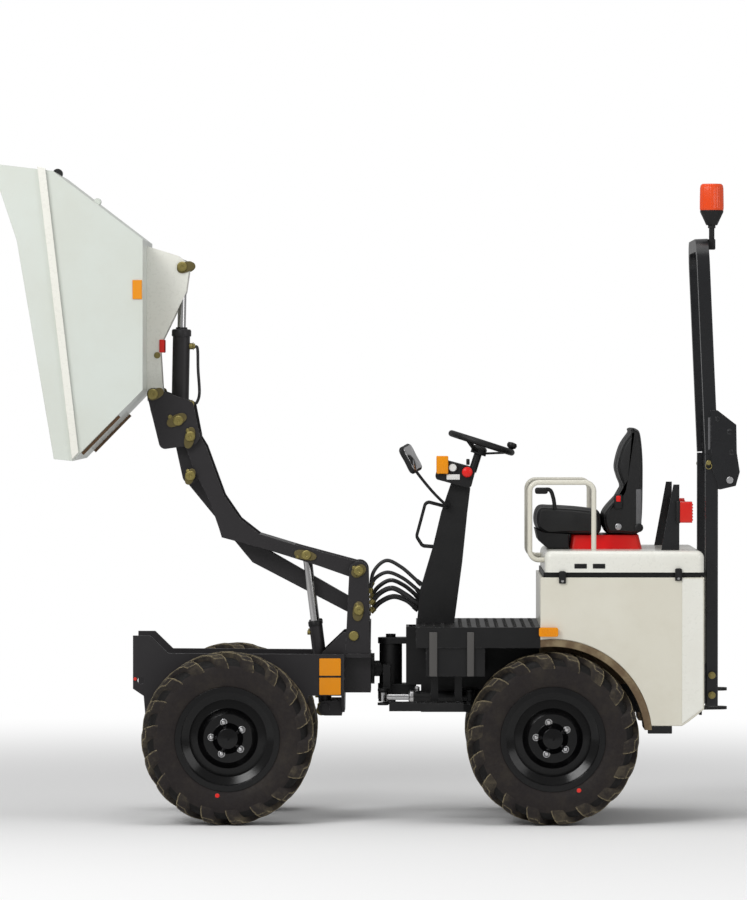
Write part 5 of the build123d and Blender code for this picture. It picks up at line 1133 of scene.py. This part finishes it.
def make_body_trim():
    """Build the cover's latches, vent slats, the platform's ribs, liner feet, tower gussets and caps, the amber
    plates' joints, nose reflectors and the steering wheel's knob."""
    side_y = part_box("side_panels")[1].y
    latches, screws, slats = [], [], []
    for x, z in LATCHES:
        latches.append(block((x, side_y + 0.004, z - 0.012), (0.014, 0.006, 0.024), 0.004))
        latches.append(block((x, side_y + 0.010, z - 0.004), (0.010, 0.004, 0.018), 0.003))
        screws += hex_bolt((x, side_y + 0.010, z - 0.026), ACROSS, 0.004)
    piece("cover_latches", latches, "black plastic", "rear_chassis", 50)
    piece("latch_screws", screws, "bright steel", "rear_chassis", 35)
    for x in VENTS:
        slats.append(block((x, side_y + 0.0004, VENT_Z), (0.0245, 0.0014, 0.0095), 0.0012))
        for k in range(4):
            slat = (x, side_y + 0.0018, SLAT_Z + k * SLAT_PITCH)
            slats.append(block(slat, (0.0225, 0.0012, 0.0011), 0.001))
    piece("vent_slats", both_sides(slats), "black plastic", "engine_cover", 50)
    low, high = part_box("amber_plates")
    plate_middle = ((low.x + high.x) / 2, high.y - 0.0002, (low.z + high.z) / 2)
    # name, its forms, finish, body, slot, angle that stays sharp
    for name, forms, coat, body, slot, smooth in (
        ("platform_ribs", [block((x, side_y + 0.002, RIB_Z), (half, 0.004, 0.088), 0.003) for x, half in RIBS],
         "grey paint", "rear_chassis", None, 40),
        ("liner_feet", [block(LINER_FOOT, (0.048, 0.012, 0.0155), 0.003)],
         "black plastic", "rear_chassis", "black_plastic", 40),
        ("tower_gussets", [side_plate(GUSSET, 0.1515, 0.012)], "charcoal paint", "front_chassis", "arm_grey", 30),
        ("plate_joints", [block(plate_middle, (0.0435, 0.0014, 0.004), 0.001)],
         "black plastic", "front_chassis", None, 40),
        ("nose_reflectors", [disc(NOSE_DOT, ACROSS, 0.007, 0.003, 0.001, 20)],
         "red paint", "front_chassis", "red_paint", 35),
        ("tower_caps", [disc(TOWER_CAP, ACROSS, 0.020, 0.010, 0.003, 28)],
         "passivated zinc", "front_chassis", None, 35),
    ):
        piece(name, both_sides(forms), coat, body, smooth)
    knob = [(0, -0.012), (0.008, -0.012), (0.009, 0.004), (0.018, 0.010), (0.021, 0.020), (0.017, 0.029),
            (0, 0.032)]
    knob = lathe(knob, KNOB_AT, KNOB_LEAN, 28)
    piece("wheel_knob", [knob], "black plastic", "steering_wheel_body", 50)


def make_skins():
    """Build the side skins over the arches, the end skins and the rear corner strips. A side skin is a closed ring
    of section carried along X between the sill z(x), which is the arch z = c_z + sqrt(R^2 - (x - c_x)^2), the flat
    bottom or its sloped rear corner, and the level top."""
    body = "rear_chassis"
    low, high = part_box("side_panels")
    arch_x, _, arch_z = middle_of("tyre_rear_left")
    meet = arch_x - math.sqrt(ARCH_R**2 - (low.z - arch_z) ** 2)
    slope_x = low.x + SILL_RUN
    x = np.concatenate([np.linspace(high.x, meet, 90), np.linspace(meet, slope_x, 8)[1:],
                        np.linspace(slope_x, low.x, 12)[1:]])
    sill = np.where(x > meet, arch_z + np.sqrt(np.maximum(ARCH_R**2 - (x - arch_x) ** 2, 0)), low.z)
    sill = sill + SILL_RISE * np.clip((slope_x - x) / SILL_RUN, 0, 1) ** SILL_BEND
    out, inn, ease = high.y, high.y - SKIN, SKIN_EASE
    section = [(0, ease, inn), (0, 0, inn + ease), (0, 0, out - ease), (0, ease, out), (1, -ease, out),
               (1, 0, out - ease), (1, 0, inn + ease), (1, -ease, inn)]
    ring = [np.stack([x, np.full(len(x), y), (high.z + 0 * x if top else sill) + dz], -1) for top, dz, y in section]
    skin = (capped(np.stack(ring, 1)), False, True)
    piece("side_skins", both_sides([skin]), "cream paint", body, 40, ("side_panels",))
    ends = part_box("end_panels")
    half, top = SKIN / 2, ends[1].z
    skins = []
    for x, foot in ((ends[0].x + half, ends[0].z + SILL_RISE), (ends[1].x - half, arch_z + ARCH_R - 0.010)):
        skins.append(block((x, 0, (foot + top) / 2), (half, ends[1].y, (top - foot) / 2), 0.002))
    piece("end_skins", skins, "cream paint", body, 40, ("end_panels",))
    # The rear corner strips are coloured white as a painted highlight on the rounded rear corner.
    corner = [(low.x + 0.004, high.z - 0.004), (low.x + 0.088, high.z - 0.004), (low.x + 0.088, low.z + 0.008),
              (low.x + 0.004, low.z + SILL_RISE + 0.004)]
    strips = side_plate(corner, out + 0.0022, 0.003, 0.001)
    piece("corner_highlight_strips", both_sides([strips]), "cover paint", body, 30)


def lozenges(x_range, y_range, z, pitch=0.034):
    """Rows of raised lozenges set crosswise in turn. Level k of each is P = c + s_k R(q) d_j + h_k up, for the four
    corners d_j, its first and last level drawn to the middle."""
    ends = np.array([x_range, y_range])
    count = (np.diff(ends)[:, 0] / pitch).astype(int)
    index = np.stack(np.meshgrid(*(np.arange(n) for n in count), indexing="ij"), -1).reshape(-1, 2)
    centre = ends[:, 0] + (index + 0.5) * np.diff(ends)[:, 0] / count
    turn = np.where(index.sum(1) % 2, LOZENGE_TURN, -LOZENGE_TURN)
    long = np.stack([np.cos(turn), np.sin(turn)], -1)
    short = LOZENGE_WIDTH * np.stack([-np.sin(turn), np.cos(turn)], -1)
    corners = np.stack([long, short, -long, -short], 1)
    size, height = np.array(LOZENGE).T
    flat = centre[:, None, None] + size[:, None, None] * corners[:, None]
    tall = np.broadcast_to((z + height)[:, None, None], (*flat.shape[:3], 1))
    return [(grid, False, True) for grid in np.concatenate([flat, tall], -1)]


def make_tread():
    """Build the raised tread on the platform's top and the steps."""
    body, slot = "rear_chassis", "chassis_black"
    _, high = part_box("platform")
    top = lozenges((-0.680, high.x - 0.015), (-high.y + 0.018, high.y - 0.018), high.z)
    piece("platform_tread", top, "chassis paint", body, 30)
    low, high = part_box("steps")
    rows = lozenges((low.x + 0.010, high.x - 0.010), (0.360, 0.434), high.z - 0.104, 0.036)
    piece("step_tread", both_sides(rows), "chassis paint", body, 30)


# ---------------------------------------------------------------- stage
FLOOR_REACH, FLOOR_LINES, FADE_FROM, FADE_TO = 40, 60, 2.0, 7.0
WORLD_LIGHT = 0.42
# name, place, aim, side of the square lamp, watts
LIGHTS = (
    ("key_light", (3.5, 5.5, 5.5), (0, 0, 1.0), 3.0, 260),
    ("fill_light", (-5.0, 4.5, 3.0), (-0.3, 0, 1.0), 3.0, 60),
    ("top_light", (0.0, 0.5, 6.5), (0, 0, 1.0), 4.0, 90),
)
NEAR_SIDE, AIM_HEIGHT, SENSOR = (-0.028, 0.44, 0), 1.4885, 36


def placed(name, data, place, aim):
    """A lamp or camera that stands at a place and looks at its aim."""
    made = bpy.data.objects.new(name, data)
    bpy.context.scene.collection.objects.link(made)
    made.location = place
    made.rotation_euler = (Vector(aim) - Vector(place)).to_track_quat("-Z", "Y").to_euler()
    return made


def make_floor():
    """The floor: its own colour near the machine, and white to the camera farther off."""
    coat = bpy.data.materials.new("studio floor")
    coat.use_nodes = True
    tree = coat.node_tree
    shader = tree.nodes["Principled BSDF"]
    shader.inputs["Base Color"].default_value = rgba(paints().floor)
    shader.inputs["Roughness"].default_value = 0.9
    shader.inputs["Specular IOR Level"].default_value = 0.1
    glow = node(tree, "ShaderNodeEmission", Color=(1, 1, 1, 1))
    far = node(tree, "ShaderNodeVectorMath", operation="LENGTH")
    feed(tree, node(tree, "ShaderNodeTexCoord").outputs["Object"], far.inputs[0])
    fade = ranged(tree, far.outputs["Value"], FADE_FROM, FADE_TO)
    path = node(tree, "ShaderNodeLightPath")
    blend = node(tree, "ShaderNodeMixShader")
    feed(tree, maths(tree, "MULTIPLY", fade, path.outputs["Is Camera Ray"]), blend.inputs[0])
    feed(tree, shader.outputs[0], blend.inputs[1])
    feed(tree, glow.outputs[0], blend.inputs[2])
    feed(tree, blend.outputs[0], tree.nodes["Material Output"].inputs[0])
    g = np.linspace(-FLOOR_REACH, FLOOR_REACH, FLOOR_LINES)
    x, y = np.meshgrid(g, g, indexing="ij")
    floor = piece("studio_floor", [(np.stack([x, y, 0 * x], -1), False, False)], "studio floor", None)


def make_stage():
    """Build the floor, light and camera: nothing here belongs to the machine."""
    scene = bpy.context.scene
    make_floor()
    world = bpy.data.worlds.new("studio")
    scene.world = world
    world.use_nodes = True
    tree = world.node_tree
    back = tree.nodes["Background"]
    back.inputs["Color"].default_value = (1, 1, 1, 1)
    path = node(tree, "ShaderNodeLightPath")
    seen = maths(tree, "MAXIMUM", path.outputs["Is Camera Ray"], path.outputs["Is Transmission Ray"])
    feed(tree, ranged(tree, seen, 0, 1, WORLD_LIGHT, 1.0), back.inputs["Strength"])
    for name, place, aim, side, power in LIGHTS:
        lamp = bpy.data.lights.new(name, "AREA")
        lamp.shape = "RECTANGLE"
        lamp.size, lamp.size_y, lamp.energy = side, side, power
        placed(name, lamp, place, aim)
    st = scene.stage_sizes
    camera = bpy.data.cameras.new("camera")
    camera.lens, camera.sensor_width, camera.clip_end = st.lens, SENSOR, 200
    near = Vector(NEAR_SIDE)
    spot = near - Vector((math.sin(st.yaw), -math.cos(st.yaw), 0)) * st.distance
    spot.z, near.z = st.height, AIM_HEIGHT
    scene.camera = placed("camera", camera, spot, near)
    scene.view_settings.view_transform = "Standard"


# ---------------------------------------------------------------- operators
def operator(label, action):
    """An operator class that runs one builder, with the builder's own words."""
    key = action.__name__

    def execute(self, context):
        action()
        return {"FINISHED"}

    return type("DUMPER_OT_" + key, (Operator,), {
        "bl_idname": "dumper." + key, "bl_label": label, "__doc__": " ".join(action.__doc__.split()),
        "execute": execute, "bl_options": {"REGISTER", "UNDO"},
    })


STEPS = (
    operator("Finishes", make_finishes),
    operator("Frame finishes", finish_frame),
    operator("Tyres", make_tyres),
    operator("Wheel trim", make_wheel_trim),
    operator("Pins", make_pins),
    operator("Cylinder trim", make_cylinder_trim),
    operator("Pivot hoses", make_hoses),
    operator("Seat", make_seat),
    operator("Seat trim", make_seat_trim),
    operator("Console", make_console_trim),
    operator("Lamps", make_lamps),
    operator("Mirror", make_mirror),
    operator("Roll hoop trim", make_hoop_trim),
    operator("Skip trim", make_skip_trim),
    operator("Body trim", make_body_trim),
    operator("Skins", make_skins),
    operator("Tread", make_tread),
    operator("Stage", make_stage),
)


class DUMPER_PT_panel(Panel):
    """Lists the sizes, colours and builders."""

    bl_label = "Site dumper"
    bl_idname = "DUMPER_PT_panel"
    bl_space_type = "VIEW_3D"
    bl_region_type = "UI"
    bl_category = "Dumper"

    def draw(self, context):
        for name in ("dumper_sizes", "dumper_colours", "stage_sizes"):
            held = getattr(context.scene, name)
            for key in held.__annotations__:
                self.layout.prop(held, key)
        for step in STEPS:
            self.layout.operator(step.bl_idname)


CLASSES = (DumperSizes, DumperColours, StageSizes, *STEPS, DUMPER_PT_panel)


def register():
    for made in CLASSES:
        bpy.utils.register_class(made)
    bpy.types.Scene.dumper_sizes = PointerProperty(type=DumperSizes)
    bpy.types.Scene.dumper_colours = PointerProperty(type=DumperColours)
    bpy.types.Scene.stage_sizes = PointerProperty(type=StageSizes)


def unregister():
    del bpy.types.Scene.stage_sizes
    del bpy.types.Scene.dumper_colours
    del bpy.types.Scene.dumper_sizes
    for made in reversed(CLASSES):
        bpy.utils.unregister_class(made)


def main():
    """Registers the classes, runs each builder in order and writes the two boxes."""
    register()
    for step in STEPS:
        getattr(bpy.ops.dumper, step.bl_idname.split(".")[1])()


if __name__ == "__main__":
    main()
